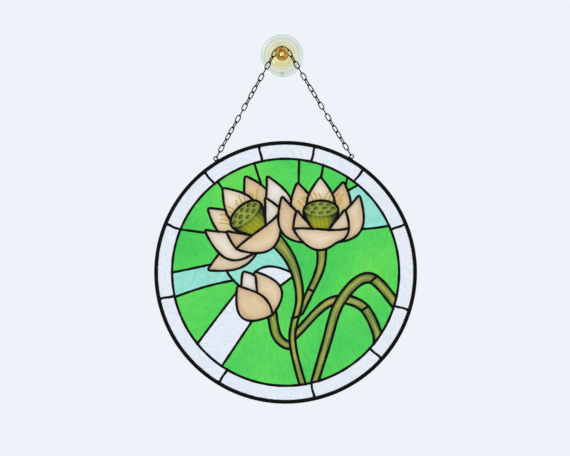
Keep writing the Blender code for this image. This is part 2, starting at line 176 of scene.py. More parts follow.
def carry(path, side, up, profile, closed):
    # a profile carried along a path: point = path + side * a + up * b for each (a, b) of the profile
    profile = np.broadcast_to(profile, (len(path),) + profile.shape[-2:])
    points = path[:, None] + side[:, None] * profile[..., :1] + up[:, None] * profile[..., 1:]
    rows, columns = points.shape[:2]
    faces = [gridFaces(rows, columns, closed, True)]
    points = points.reshape(-1, 3)
    if closed:
        return points, faces
    return np.concatenate([points, path[:1], path[-1:]]), faces + endFans(rows, columns)


def along(path, closed):
    # unit vectors along a path, from each point's neighbours
    if closed:
        step = np.roll(path, -1, 0) - np.roll(path, 1, 0)
    else:
        step = np.gradient(path, axis=0)
    return step / np.linalg.norm(step, axis=-1, keepdims=True)


def turned(profile, sides, closed):
    # (radius, depth) turned about the y axis: (r cos a, -depth, r sin a), poles closed by fans
    profile = np.asarray(profile, float)
    angle = np.linspace(0, 2 * math.pi, sides, endpoint=False)
    rings = profile if closed else profile[1:-1]
    r, d = rings[:, 0, None], rings[:, 1, None]
    points = np.stack(np.broadcast_arrays(r * np.cos(angle), -d, r * np.sin(angle)), -1).reshape(-1, 3)
    faces = [gridFaces(len(rings), sides, closed, True)]
    if closed:
        return points, faces
    poles = [(0, -profile[0, 1], 0), (0, -profile[-1, 1], 0)]
    return np.concatenate([points, poles]), faces + endFans(len(rings), sides)


def copies(points, faces, axes, middles):
    # the same small shape set down at many places: point @ axes + middle
    many = points[None] @ axes + middles[:, None]
    shift = np.arange(len(many))[:, None, None] * len(points)
    return many.reshape(-1, 3), [(f[None] + shift).reshape(-1, f.shape[1]) for f in faces]


def mound(middle, halfSizes, axes, power=1.0, rows=12, columns=28):
    # a closed oval: s(cos v) s(cos u), s(cos v) s(sin u), s(sin v), where s(x) = sign(x) |x|^power
    v = np.linspace(-math.pi / 2, math.pi / 2, rows + 2)[1:-1, None]
    u = np.linspace(0, 2 * math.pi, columns, endpoint=False)[None]
    cv, sv, cu, su = (np.sign(x) * np.abs(x) ** power for x in (np.cos(v), np.sin(v), np.cos(u), np.sin(u)))
    unit = np.stack(np.broadcast_arrays(cv * cu, cv * su, sv), -1).reshape(-1, 3)
    unit = np.concatenate([unit, [(0, 0, -1), (0, 0, 1)]])
    points = np.array(middle) + (unit * np.array(halfSizes)) @ np.array(axes)
    return points, [gridFaces(rows, columns, False, True)] + endFans(rows, columns)


def roundedCorners(corners, radius, steps=5):
    # each corner c becomes the curve (1-t)^2 a + 2 t (1-t) c + t^2 b between points a and b near it
    c = np.asarray(corners, float)
    before, after = np.roll(c, 1, 0) - c, np.roll(c, -1, 0) - c
    lengths = [np.linalg.norm(v, axis=1, keepdims=True) for v in (before, after)]
    radius = np.broadcast_to(np.asarray(radius, float).reshape(-1, 1), (len(c), 1))
    a = c + before / lengths[0] * np.minimum(radius, lengths[0] * 0.48)
    b = c + after / lengths[1] * np.minimum(radius, lengths[1] * 0.48)
    t = np.linspace(0, 1, steps)[None, :, None]
    curve = (1 - t) ** 2 * a[:, None] + 2 * t * (1 - t) * c[:, None] + t ** 2 * b[:, None]
    return curve.reshape(-1, 2)


def smoothStep(low, high, x):
    # 0 below low, 1 above high, and t^2 (3 - 2t) between them
    t = np.clip((x - low) / (high - low), 0, 1)
    return t * t * (3 - 2 * t)


def distanceToLines(points, starts, ends):
    # least distance from each point to any of the segments, and the number of the nearest
    best = np.full(len(points), 1e9)
    nearest = np.zeros(len(points), int)
    span = ends - starts
    square = np.maximum((span ** 2).sum(1), 1e-12)
    for first in range(0, len(points), 2000):
        p = points[first:first + 2000, None] - starts[None]
        t = np.clip((p * span).sum(-1) / square, 0, 1)
        d = np.linalg.norm(p - t[..., None] * span, axis=-1)
        nearest[first:first + 2000] = d.argmin(1)
        best[first:first + 2000] = d.min(1)
    return best, nearest


def runAlong(path):
    # the length of the path up to each of its points
    return np.append(0, np.cumsum(np.linalg.norm(np.diff(path, axis=0), axis=1)))


def equalSteps(path, count):
    # so many points at equal steps of the path's length
    run = runAlong(path)
    s = np.linspace(0, run[-1], count)
    return np.stack([np.interp(s, run, part) for part in path.T], -1)


def evenly(path, spacing):
    # points about the spacing apart, eased three times by a 1-2-1 mean with the ends kept
    count = max(2, int(round(runAlong(path)[-1] / spacing)) + 1)
    path = equalSteps(path, count)
    for _ in range(3 if count > 4 else 0):
        path[1:-1] = (path[:-2] + 2 * path[1:-1] + path[2:]) / 4
    return path


# Shapes of the picture, with its radius as 1, from the rearmost to the foremost

def midline(base, tip, bow, steps):
    # base + (tip - base) t, pushed to the left by bow * 4 t (1 - t)
    base, tip = np.array(base, float), np.array(tip, float)
    t = np.linspace(0, 1, steps)[:, None]
    axis = tip - base
    left = np.array([-axis[1], axis[0]]) / np.linalg.norm(axis)
    return base + axis * t + left * bow * 4 * t * (1 - t), left, t


def petal(base, tip, width, bow=0.0, fullness=0.85, steps=48):
    # a pointed oval about its midline: half width = width / 2 * sin(pi t ^ fullness)
    middle, left, t = midline(base, tip, bow, steps)
    half = width / 2 * np.sin(np.pi * t ** fullness)
    outline = np.concatenate([(middle - left * half)[:-1], (middle + left * half)[:0:-1]])
    return {"outline": outline, "spine": middle, "half": half[:, 0]}


def smoothCurve(points, steps=16):
    # Catmull-Rom through the points: 0.5 (2b + (c-a) t + (2a-5b+4c-d) t^2 + (3b-a-3c+d) t^3)
    p = np.array(points, float)
    p = np.concatenate([2 * p[:1] - p[1:2], p, 2 * p[-1:] - p[-2:-1]])
    a, b, c, d = (p[i:len(p) - 3 + i, None] for i in range(4))
    t = (np.arange(steps) / steps)[None, :, None]
    drawn = 0.5 * (2 * b + (c - a) * t + (2 * a - 5 * b + 4 * c - d) * t ** 2
                   + (3 * b - a - 3 * c + d) * t ** 3)
    return np.concatenate([drawn.reshape(-1, 2), p[-2:-1]])


def band(points, first, middle, last):
    # a strip along a curve: width = first (1-t)(1-2t) + middle 4t(1-t) + last t(2t-1)
    line = smoothCurve(points)
    way = along(line, False)
    left = np.stack([-way[:, 1], way[:, 0]], -1)
    t = np.linspace(0, 1, len(line))[:, None]
    half = (first * (1 - t) * (1 - 2 * t) + middle * 4 * t * (1 - t) + last * t * (2 * t - 1)) / 2
    outline = np.concatenate([line - left * half, (line + left * half)[::-1]])
    return {"outline": outline, "spine": line, "half": half[:, 0]}


def seedPod(middle, tilt, width, height, steps=90):
    # an oval top over a body that narrows downwards: across *= 1 - 0.42 along^2, along *= 2.2
    right, up = leaned(tilt)
    angle = np.linspace(0, 2 * np.pi, steps, endpoint=False)
    a, b = np.cos(angle), np.sin(angle)
    a = np.where(b < 0, a * (1 - 0.42 * b * b), a)
    b = np.where(b < 0, b * 2.2, b)
    middle = np.array(middle, float)
    outline = middle + right * a[:, None] * width / 2 + up * b[:, None] * height / 3.2
    spine = middle + up * np.linspace(-2.2, 1, 12)[:, None] * height / 3.2
    return {"outline": outline, "spine": spine, "half": np.full(12, width / 2)}


def flower(stem, base, tilt, size, petals, tones):
    # upright petals leaned to the left by the tilt: each point = base + right * x + up * y
    right, up = (way * size for way in leaned(tilt))
    foot = np.array(base, float)
    shapes = []
    for (start, tip, width, bow), tone in zip(petals, tones):
        ends = [foot + right * x + up * y for x, y in (start, tip)]
        shapes.append(petal(ends[0], ends[1], width * size, bow * size) | {"stem": stem, "tone": tone})
    return shapes


def bothSides(start, tip, width, bow):
    # a petal and its mirror image
    return [((-start[0], start[1]), (-tip[0], tip[1]), width, bow), (start, tip, width, -bow)]


# Each petal has a foot, a tip, a width and a bow, in a flower that stands upright and has size 1
lotus = {
    "backSides": ((0.1, 0.3), (0.33, 0.93), 0.34, 0.05),
    "back": ((0, 0.3), (0, 1), 0.40, 0),
    "cupSides": ((0.1, 0.06), (0.55, 0.74), 0.36, 0.12),
    "innerSides": ((0.02, 0.04), (0.34, 0.54), 0.26, 0.10),
    "front": ((-0.40, 0.26), (0.40, 0.26), 0.30, -0.16),
    "podUp": 0.52,             # from the flower's base to the middle of the pod's oval top
    "podWidth": 0.5,
    "podHeight": 0.44,
}
blossoms = {
    "left": {"base": (-0.12, 0.25), "tilt": 40, "size": 0.66, "paintSeed": 3,
             "drooping": [((-0.1, 0.1), (-0.88, 0.30), 0.34, 0.0)],
             "tones": [0.55, 0.25, 0.8, 0.45, 0.75, 0.95, 0.1, 0.85, 0.35]},
    "right": {"base": (0.32, 0.22), "tilt": 0, "size": 0.62, "paintSeed": 8, "drooping": [],
              "tones": [0.3, 0.15, 0.75, 0.1, 0.4, 0.25, 0.6, 0.45]},
}


def podMiddle(blossom):
    # the middle of the pod's oval top: base + up * podUp * size
    return np.array(blossom["base"]) + leaned(blossom["tilt"])[1] * lotus["podUp"] * blossom["size"]


def blossomShapes(side):
    # petals behind the seed pod, the pod, and the petals that cup it in front
    b = blossoms[side]
    behind = bothSides(*lotus["backSides"]) + [lotus["back"]] + b["drooping"]
    before = bothSides(*lotus["cupSides"]) + bothSides(*lotus["innerSides"]) + [lotus["front"]]
    stem, count = side + "_blossom_petal", len(behind)
    shapes = flower(stem, b["base"], b["tilt"], b["size"], behind, b["tones"])
    pod = seedPod(podMiddle(b), b["tilt"], lotus["podWidth"] * b["size"], lotus["podHeight"] * b["size"])
    shapes.append(pod | {"stem": side + "_blossom_pod", "tone": 0.5})
    return shapes + flower(stem, b["base"], b["tilt"], b["size"], before, b["tones"][count:])


def pictureShapes():
    # background bands, leaves and stems first, then the bud and the two blossoms over them
    shapes = []
    for stem, tone, shape in [
        ("aqua_pane", 0.2, band([(-1.1, -0.12), (-0.7, -0.02), (-0.3, 0.06)], 0.24, 0.18, 0.2)),
        ("aqua_pane", 0.8, petal((-0.52, 0.02), (0.08, 0.03), 0.44, 0.02)),
        ("aqua_pane", 0.5, band([(0.4, 0.50), (0.75, 0.58), (1.2, 0.75)], 0.25, 0.42, 0.6)),
        ("clear_pane", 0.5, petal((-0.36, -0.16), (0.09, -0.02), 0.22, 0.04)),
        ("clear_pane", 0.5, band([(-0.3, -0.2), (-0.56, -0.55), (-0.85, -0.95)], 0.25, 0.28, 0.3)),
        ("leaf_ribbon", 0.3, band([(0.05, -0.58), (0.38, -0.27), (0.66, -0.30), (0.80, -0.56),
                                   (0.78, -0.75)], 0.055, 0.075, 0.07)),
        ("leaf_ribbon", 0.5, band([(0.20, -1.10), (0.34, -0.66), (0.48, -0.26), (0.74, -0.06),
                                   (1.02, -0.36)], 0.055, 0.08, 0.08)),
        ("stem", 0.8, band([(0.32, 0.3), (0.31, 0.05), (0.20, -0.20), (0.08, -0.44)],
                           0.09, 0.06, 0.055)),
        ("stem", 0.4, band([(-0.13, -0.34), (-0.09, -0.55), (0.0, -0.64), (0.08, -0.62)],
                           0.08, 0.07, 0.06)),
        ("stem", 0.5, band([(-0.14, 0.36), (0.05, 0.10), (0.12, -0.22), (0.05, -0.6),
                            (0.16, -1.1)], 0.13, 0.06, 0.06)),
    ]:
        shapes.append(shape | {"stem": stem, "tone": tone})
    shapes += flower("bud_petal", (-0.13, -0.38), 34, 0.47, [
        ((0, 0.3), (0.04, 1.0), 0.44, 0.0), ((0, 0), (0.22, 0.86), 0.46, -0.12),
        ((0.02, 0), (-0.2, 0.84), 0.56, 0.13)], [1.0, 0.4, 0.2])
    return shapes + blossomShapes("left") + blossomShapes("right")


# Cuts that the glazier needs in long or hollow panes: the glass that is cut, from where and to where
paneCuts = [
    ("green_pane", (0.12, 0.6), (0.14, 1.1)), ("green_pane", (-0.3, 0.3), (-1.1, 0.42)),
    ("green_pane", (-0.15, 0.6), (-0.30, 1.1)), ("green_pane", (0.52, 0.66), (0.62, 1.1)),
    ("green_pane", (-0.54, 0.74), (-0.70, 0.98)), ("green_pane", (0.32, 0.80), (0.38, 1.1)),
    ("stem", (0.02, -0.42), (0.24, -0.34)), ("stem", (0.155, -0.13), (0.30, -0.20)),
    ("leaf_ribbon", (0.60, -0.22), (0.86, 0.0)), ("leaf_ribbon", (0.58, -0.40), (0.84, -0.24)),
]

cutting = {
    "smallest": 58.0,          # mm2, a smaller scrap joins a neighbour
    "crumb": 12.0,             # mm2, what is smaller between the smooth lines is left to the solder
    "lineStep": 1.1,           # between the points of a line, in mm
    "coarse": (1.6, 1.0),      # points this far apart in a pane, and this far off the lines
    "fine": (0.55, 0.75),      # the same in and round the seed pods, where there is painting
    "fineReach": 31,           # radius of the fine part
}


# Cutting the picture into panes

def trianglePairs(cells, count):
    # for each edge that two triangles share: the triangles and the edge's ends; then the other edges
    ends = np.sort(cells[:, [0, 1, 1, 2, 2, 0]].reshape(-1, 2), 1)
    key = ends[:, 0] * count + ends[:, 1]
    order = np.argsort(key, kind="stable")
    key, ends, triangle = key[order], ends[order], order // 3
    same = np.append(key[1:] == key[:-1], False)
    first = np.flatnonzero(same)
    alone = ~(same | np.append(False, same[:-1]))
    return triangle[first], triangle[first + 1], ends[first], ends[alone]


def groups(count, a, b):
    # the lowest number that each item reaches over the pairs
    label = np.arange(count)
    while True:
        low = np.minimum(label[a], label[b])
        following = label.copy()
        np.minimum.at(following, a, low)
        np.minimum.at(following, b, low)
        following = following[following]
        if (following == label).all():
            return label
        label = following


def crossed(a, b):
    # ax by - ay bx, above 0 where b lies to the left of a
    return a[..., 0] * b[..., 1] - a[..., 1] * b[..., 0]


def triangleAreas(flat, cells):
    # half of what two sides cross to, below 0 for a triangle that goes clockwise
    a, b, c = (flat[cells[:, k]] for k in range(3))
    return crossed(b - a, c - a) / 2


def cutPicture(shapes):
    # triangles of the disc, each owned by its foremost shape (0 is the green ground, 1 the first
    # shape), and neighbours with one owner and no cut between them make a pane
    disc = direction(np.linspace(0, 360, 300, endpoint=False))
    corners, edges, faces = [], [], []
    for outline in [disc] + [shape["outline"] for shape in shapes]:
        faces.append(list(range(len(corners), len(corners) + len(outline))))
        corners += (outline * panel["pictureRadius"]).tolist()
    for _, start, end in paneCuts:
        edges.append((len(corners), len(corners) + 1))
        corners += (np.array([start, end]) * panel["pictureRadius"]).tolist()
    flat, lines, cells, _, lineOrigins, origins = delaunay_2d_cdt(corners, edges, faces, 0, 0.01)
    flat = np.array([tuple(p) for p in flat])
    owner = np.array([max(origin) if 0 in origin else -1 for origin in origins])
    cells = np.array([tuple(c) for c in cells])[owner >= 0]
    owner = owner[owner >= 0]
    stems = np.array(["green_pane"] + [shape["stem"] for shape in shapes])
    cutStem = {}
    for line, origin in zip(lines, lineOrigins):
        stopping = [paneCuts[n][0] for n in origin if n < len(edges)]
        if stopping:
            cutStem[tuple(sorted(line))] = stopping[0]
    a, b, ends, _ = trianglePairs(cells, len(flat))
    stopped = np.array([stems[owner[t]] == cutStem.get(tuple(end))
                        for t, end in zip(a.tolist(), ends.tolist())])
    joined = (owner[a] == owner[b]) & ~stopped
    pane = groups(len(cells), a[joined], b[joined])
    lengths = np.linalg.norm(flat[ends[:, 0]] - flat[ends[:, 1]], axis=1)
    joinScraps(owner, pane, np.abs(triangleAreas(flat, cells)), a, b, lengths)
    return flat, cells, owner, pane


def joinScraps(owner, pane, size, a, b, lengths):
    # again and again, the smallest scrap joins the neighbour with which it shares the longest line
    while True:
        numbers, where = np.unique(pane, return_inverse=True)
        areas = np.bincount(where, size)
        scrap = numbers[areas.argmin()]
        if areas.min() > cutting["smallest"]:
            return
        beside = (pane[a] == scrap) != (pane[b] == scrap)
        other = np.where(pane[a] == scrap, pane[b], pane[a])[beside]
        shared = np.bincount(other, lengths[beside], minlength=len(pane))
        host = shared.argmax()
        owner[pane == scrap] = owner[host]
        pane[pane == scrap] = host


def traceLines(flat, cells, pane):
    # the edges between panes and round the picture, strung from junction to junction
    a, b, ends, rimEnds = trianglePairs(cells, len(flat))
    edges = np.concatenate([ends[pane[a] != pane[b]], rimEnds])
    beside = {}
    for p, q in edges.tolist():
        beside.setdefault(p, []).append(q)
        beside.setdefault(q, []).append(p)
    junctions = [p for p, around in beside.items() if len(around) != 2]
    used, lines = set(), []
    for start in junctions + [p for p in beside if len(beside[p]) == 2]:
        for onward in beside[start]:
            if (start, onward) in used:
                continue
            if len(beside[start]) == 2 and (onward, start) in used:
                continue
            line = [start, onward]
            while len(beside[line[-1]]) == 2 and line[-1] != start:
                p, q = beside[line[-1]]
                line.append(q if p == line[-2] else p)
            used.update(zip(line, line[1:]))
            used.update(zip(line[1:], line))
            lines.append(flat[line])
    return lines, flat[junctions]


def onRing(line):
    # whether the whole line runs along the ring round the picture
    return (np.abs(np.linalg.norm(line, axis=1) - panel["pictureRadius"]) < 0.4).all()


def lattice(spacing):
    # a triangular lattice over the picture: rows sqrt(3/4) apart, every second one moved by a half
    reach = math.ceil(panel["pictureRadius"])
    rows = np.arange(-reach, reach, spacing * math.sqrt(0.75))
    x, z = np.meshgrid(np.arange(-reach, reach, spacing), rows)
    x = x + (np.arange(len(rows)) % 2)[:, None] * spacing / 2
    return np.stack([x.ravel(), z.ravel()], -1)


def meshPicture(lines, flat, cells, pane):
    # a fresh net of small triangles within the smooth lines, each triangle with its pane
    starts = np.concatenate([line[:-1] for line in lines])
    ends = np.concatenate([line[1:] for line in lines])
    pods = np.array([podMiddle(b) * panel["pictureRadius"] + leaned(b["tilt"])[1] * 2.0
                     for b in blossoms.values()])
    points = [starts, ends]
    for (spacing, keepOff), near in ((cutting["coarse"], False), (cutting["fine"], True)):
        p = lattice(spacing)
        nearPods = np.min(np.linalg.norm(p[:, None] - pods, axis=2), 1) < cutting["fineReach"]
        p = p[(nearPods == near) & (np.linalg.norm(p, axis=1) < panel["pictureRadius"] - 1.0)]
        points.append(p[distanceToLines(p, starts, ends)[0] > keepOff])
    pairs = [(i, i + len(starts)) for i in range(len(starts))]
    points = np.concatenate(points).tolist()
    made, edges, triangles, _, origins, _ = delaunay_2d_cdt(points, pairs, [], 0, 0.002)
    made = np.array([tuple(p) for p in made])
    triangles = np.array([tuple(t) for t in triangles])
    wall = {tuple(sorted(edge)) for edge, origin in zip(edges, origins) if origin}
    a, b, sharedEnds, _ = trianglePairs(triangles, len(made))
    free = np.array([tuple(end) not in wall for end in sharedEnds.tolist()])
    part = groups(len(triangles), a[free], b[free])
    size = np.abs(triangleAreas(made, triangles))
    found = {}
    for number in np.unique(part):
        members = np.flatnonzero(part == number)
        if size[members].sum() < cutting["crumb"]:
            continue
        middle = made[triangles[members[size[members].argmax()]]].mean(0)
        within = insideTriangles(middle, flat[cells])
        if len(within):
            found.setdefault(pane[within[0]], []).append(triangles[members])
    return made, {number: np.concatenate(members) for number, members in found.items()}


def insideTriangles(point, corners):
    # the triangles whose three sides all have the point on the same side
    signs = crossed(np.roll(corners, -1, 1) - corners, point - corners)
    return np.flatnonzero((signs >= -1e-9).all(1) | (signs <= 1e-9).all(1))


# Solid panes

ripple = {
    "height": 0.09,            # half the height of the waves that the rollers leave, in mm
    "length": 11.0,            # from crest to crest
}


def onSheet(flat, turn):
    # the points as they lay on the sheet of glass, which was turned by so many degrees
    return flat @ np.stack([direction(turn), direction(turn + 90)], 1)


def rippleHeight(flat, turn):
    # sin(k x + 1.3 sin(0.31 k z)) and two weaker waves of other lengths and directions, added up
    x, z = onSheet(flat, turn).T * 2 * math.pi / ripple["length"]
    waves = (np.sin(x + 1.3 * np.sin(0.31 * z)) + 0.6 * np.sin(1.7 * (0.8 * z + 0.3 * x))
             + 0.4 * np.sin(3.1 * (0.5 * x - 0.9 * z)))
    return ripple["height"] * waves / 2


def openSides(triangles, count):
    # directed sides with no partner the other way round
    sides = np.concatenate([triangles[:, [0, 1]], triangles[:, [1, 2]], triangles[:, [2, 0]]])
    key = sides[:, 0] * count + sides[:, 1]
    back = sides[:, 1] * count + sides[:, 0]
    return sides[~np.isin(key, back)]


def slab(flat, triangles, turn):
    # front and back at half the thickness less 0.1 plus the ripple, and walls along the open sides
    outer = openSides(triangles, len(flat))
    half, count = panel["glassHalf"] - 0.1, len(flat)
    front = inPlane(flat, half + rippleHeight(flat, turn))
    back = inPlane(flat, -half - 0.6 * rippleHeight(flat + 5, turn + 70))
    wall = np.stack([outer[:, 1], outer[:, 0], outer[:, 0] + count, outer[:, 1] + count], -1)
    return np.concatenate([front, back]), [triangles, triangles[:, ::-1] + count, wall], outer


def solidPane(flat, triangles, turn):
    # the pane's edge is drawn in by 2 n / |n|^2 * inset, where n adds up the inward normals beside it
    used, triangles = np.unique(triangles, return_inverse=True)
    triangles = triangles.reshape(-1, 3)
    points = flat[used]
    turnedOver = triangleAreas(points, triangles) < 0
    triangles[turnedOver] = triangles[turnedOver][:, ::-1]
    outer = openSides(triangles, len(points))
    span = points[outer[:, 1]] - points[outer[:, 0]]
    length = np.linalg.norm(span, axis=1, keepdims=True)
    inward = np.stack([-span[:, 1], span[:, 0]], -1) / np.maximum(length, 1e-6)
    push = np.zeros_like(points)
    for end in outer.T:
        np.add.at(push, end, inward)
    square = np.maximum((push ** 2).sum(1, keepdims=True), 0.5)
    points = points + push * 2 / square * panel["edgeInset"]
    triangles = triangles[triangleAreas(points, triangles) > 1e-3]
    a, b, _, _ = trianglePairs(triangles, len(points))
    part = groups(len(triangles), a, b)
    triangles = triangles[part == np.bincount(part).argmax()]
    both, faces, outer = slab(points, triangles, turn)
    edge = distanceToLines(points, points[outer[:, 0]], points[outer[:, 1]])[0]
    return points, both, faces, edge


def spineCoordinates(points, shape):
    # how far along its shape's spine each point lies, and how far to the left of it
    line = shape["spine"] * panel["pictureRadius"]
    way, run = np.diff(line, axis=0), runAlong(line)
    length = np.linalg.norm(way, axis=1)
    distance, nearest = distanceToLines(points, line[:-1], line[1:])
    unit = way[nearest] / length[nearest, None]
    rel = points - line[nearest]
    s = run[nearest] + np.clip((rel * unit).sum(1), 0, length[nearest])
    side = np.where(crossed(unit, rel) > 0, 1.0, -1.0) * distance
    half = np.interp(s, run, shape["half"] * panel["pictureRadius"])
    return s, side, side / np.maximum(half, 1.5)


# Painting on the glass, as one number for each point

# the numbers that each glass reads from its mesh
readBy = {"cream_opal_glass": ("tone", "edge", "paint", "wash"),
          "olive_painted_glass": ("shade", "disc"), "olive_streaky_glass": ("across",)}

stamens = {
    "count": 11,
    "spread": 68,              # degrees to each side of the flower's top
    "length": (5.0, 10.5),     # mm, shortest and longest
    "halfStroke": 0.52,
    "anther": 0.95,            # radius of the blob at the tip of each
}


def podHalfAxes(blossom):
    # half the width of the pod's oval top and half its height, which is the pod's over 3.2, in mm
    halves = np.array([lotus["podWidth"] / 2, lotus["podHeight"] / 3.2])
    return halves * blossom["size"] * panel["pictureRadius"]


def podOval(points, blossom):
    # each point's way to the right and up from the pod's middle, over the oval's half axes
    rel = points - podMiddle(blossom) * panel["pictureRadius"]
    return [rel @ way / half for way, half in zip(leaned(blossom["tilt"]), podHalfAxes(blossom))]


def stamenPaint(points, blossom):
    # 1 on strokes that fan out from the pod's oval: start + (outwards * t + bend * t^2) * length
    rng = np.random.default_rng(blossom["paintSeed"])
    right, up = leaned(blossom["tilt"])
    wide, high = podHalfAxes(blossom)
    count, steps = stamens["count"], 9
    lean = np.linspace(-1, 1, count) + rng.uniform(-0.05, 0.05, count)
    turn = np.radians(lean * stamens["spread"])
    long = rng.uniform(*stamens["length"], count)
    start = podMiddle(blossom) * panel["pictureRadius"] + np.outer(np.sin(turn) * (wide + 1.5), right)
    start = start + np.outer(np.cos(turn) * (high + 1.6), up)
    outwards = np.outer(np.sin(turn) * 0.75, right) + up
    bend = np.outer(np.sign(lean + 0.01) * rng.uniform(0.1, 0.5, count), right)
    t = np.linspace(0, 1, steps)[None, :, None]
    path = start[:, None] + (outwards[:, None] * t + bend[:, None] * t ** 2) * long[:, None, None]
    d, _ = distanceToLines(points, path[:, :-1].reshape(-1, 2), path[:, 1:].reshape(-1, 2))
    tips = path[:, -1] + rng.normal(0, 0.3, (count, 2))
    blob, _ = distanceToLines(points, tips, tips + 0.01)
    stroke = 1 - smoothStep(stamens["halfStroke"] * 0.6, stamens["halfStroke"] * 1.5, d)
    return np.maximum(stroke * 0.85, 1 - smoothStep(stamens["anther"] * 0.6, stamens["anther"], blob))


podDisc = {
    "halfAxes": (0.98, 0.80),  # of the painted disc, over those of the pod's oval top
    "raised": 0.12,            # its middle over the oval's
    "hole": (0.150, 0.205),    # half axes of a seed hole, over the disc's
    "holes": np.array([(-0.42, 0.52), (0.04, 0.60), (0.48, 0.50), (-0.76, 0.06), (-0.27, 0.05),
                       (0.24, 0.08), (0.72, 0.04), (-0.46, -0.46), (0.02, -0.52), (0.46, -0.44)]),
}


def podPaint(points, blossom):
    # how dark the paint is: an oval disc with ringed seed holes over a body, with painted shade at the
    # body's sides, just under the disc and towards the disc's sides
    a, b = podOval(points, blossom)
    s, t = a / podDisc["halfAxes"][0], (b - podDisc["raised"]) / podDisc["halfAxes"][1]
    radius = np.hypot(s, t)
    disc = 1 - smoothStep(0.97, 1.03, radius)
    # r is 1 at the edge of a hole, and each ring is painted darker at its upper left: painted shade, as of
    # a hole lit from the upper left
    u = (s[:, None] - podDisc["holes"][:, 0]) / podDisc["hole"][0]
    v = (t[:, None] - podDisc["holes"][:, 1]) / podDisc["hole"][1]
    r = np.hypot(u, v)
    # painted shade: the ring darkens towards its upper left
    ringShade = 0.62 + 0.38 * np.clip((v - u) / np.maximum(r, 0.2), -1, 1)
    ring = smoothStep(0.45, 0.62, r) * (1 - smoothStep(0.90, 1.12, r)) * ringShade
    cavity = (1 - smoothStep(0.40, 0.66, r)) * 0.34
    onDisc = 0.20 + 0.10 * np.abs(s) + np.maximum(ring, cavity).max(1) * 0.80
    onDisc = np.maximum(onDisc, smoothStep(0.90, 0.99, radius) * 0.75)
    ribs = 0.10 * np.sin(26 * a + 3 * b)
    # painted shade: the body is darkest just under the disc's rim and towards its sides, and lightest a
    # little left of its middle
    shadeUnderDisc = np.exp(-np.maximum(radius - 1.0, 0) / 0.22)
    body = 0.12 + 0.62 * smoothStep(0.30, 0.95, np.abs(a + 0.10)) + 0.42 * shadeUnderDisc + ribs
    return np.clip(disc * onDisc + (1 - disc) * body, 0, 1), disc


# Materials

def streaksOnSheet(tree, stretch, length, detail, roughness, distortion):
    # noise of one wave length, drawn out along the sheet that the pane was cut from
    sheet = addNode(tree, "UVMap", {"uv_map": "sheet"})
    longWay = addNode(tree, "Mapping", {"Scale": (1.0, stretch, 1.0)}, {"Vector": sheet})
    streaks = addNode(tree, "TexNoise", {"Scale": 1 / length, "Detail": detail, "Roughness": roughness,
                      "Distortion": distortion}, {"Vector": longWay})
    return sheet, longWay, streaks


def fromAxis(tree, place):
    # the distance from the y axis: the length of (x, 0, z)
    flat = addNode(tree, "VectorMath", {"operation": "MULTIPLY", 1: (1.0, 0.0, 1.0)}, {0: place})
    return addNode(tree, "VectorMath", {"operation": "LENGTH"}, {0: flat}).outputs["Value"]


def finishFace(tree, shader, colour, relief, strength, distance):
    # the face gets its colour and a fine relief
    bump = addNode(tree, "Bump", {"Strength": strength, "Distance": distance}, {"Height": relief})
    plug(shader, {"Base Color": colour, "Normal": bump})
    return bump


def letThrough(tree, shader, colour, bump, share):
    # light that comes through from behind is mixed with light that the face sends back
    through = addNode(tree, "BsdfTranslucent", {}, {"Color": colour, "Normal": bump})
    mixed = addNode(tree, "MixShader", {0: share}, {1: shader, 2: through})
    plug(tree.nodes["Material Output"], {"Surface": mixed})


def cathedralGreen():
    # machine rolled cathedral glass, coloured right through: clear bright green with slow drifts
    # to yellow and to a cooler green, faint streaks, a few dark seeds and a gently waved face
    made, tree, shader = newMaterial("greenCathedralGlass", {
        "Transmission Weight": 1.0, "IOR": 1.52, "Roughness": 0.11})
    sheet, _, streaks = streaksOnSheet(tree, 2.6, 0.009, 4.0, 0.6, 0.8)
    place = addNode(tree, "TexCoord").outputs["Object"]
    drift = addNode(tree, "TexNoise", {"Scale": 1 / 0.095, "Detail": 2.0, "Roughness": 0.4},
                    {"Vector": place})
    colour = addNode(tree, "ValToRGB", {"stops": [
        (0.32, "#3AD650"), (0.50, "#50E452"), (0.68, "#6AEA4A")]}, {"Fac": drift})
    tone = addNode(tree, "ValToRGB", {"stops": [(0.28, "#DBEBD8"), (0.60, "#FFFFFF")]}, {"Fac": streaks})
    seeds = addNode(tree, "TexVoronoi", {"Scale": 1 / 0.012}, {"Vector": place})
    specks = addNode(tree, "ValToRGB", {"stops": [(0.030, "#5E6E3A"), (0.075, "#FFFFFF")]},
                     {"Fac": seeds})
    for layer in (tone, specks):
        colour = addNode(tree, "Mix", {"data_type": "RGBA", "blend_type": "MULTIPLY", 0: 1.0},
                         {6: colour, 7: layer}).outputs[2]
    fine = addNode(tree, "TexNoise", {"Scale": 1 / 0.005, "Detail": 2.0}, {"Vector": sheet})
    finishFace(tree, shader, colour, fine, 0.25, 0.0004)
    return made


def cathedralAqua():
    # the same rolled glass in pale aqua, with broader white wisps
    made, tree, shader = newMaterial("aquaCathedralGlass", {
        "Transmission Weight": 1.0, "IOR": 1.52, "Roughness": 0.12})
    sheet, _, wisps = streaksOnSheet(tree, 3.5, 0.022, 5.0, 0.6, 1.2)
    colour = addNode(tree, "ValToRGB", {"stops": [
        (0.30, "#88E2CA"), (0.50, "#98EAD3"), (0.72, "#B4F0E1")]}, {"Fac": wisps})
    fine = addNode(tree, "TexNoise", {"Scale": 1 / 0.005, "Detail": 2.0}, {"Vector": sheet})
    finishFace(tree, shader, colour, fine, 0.25, 0.0004)
    return made


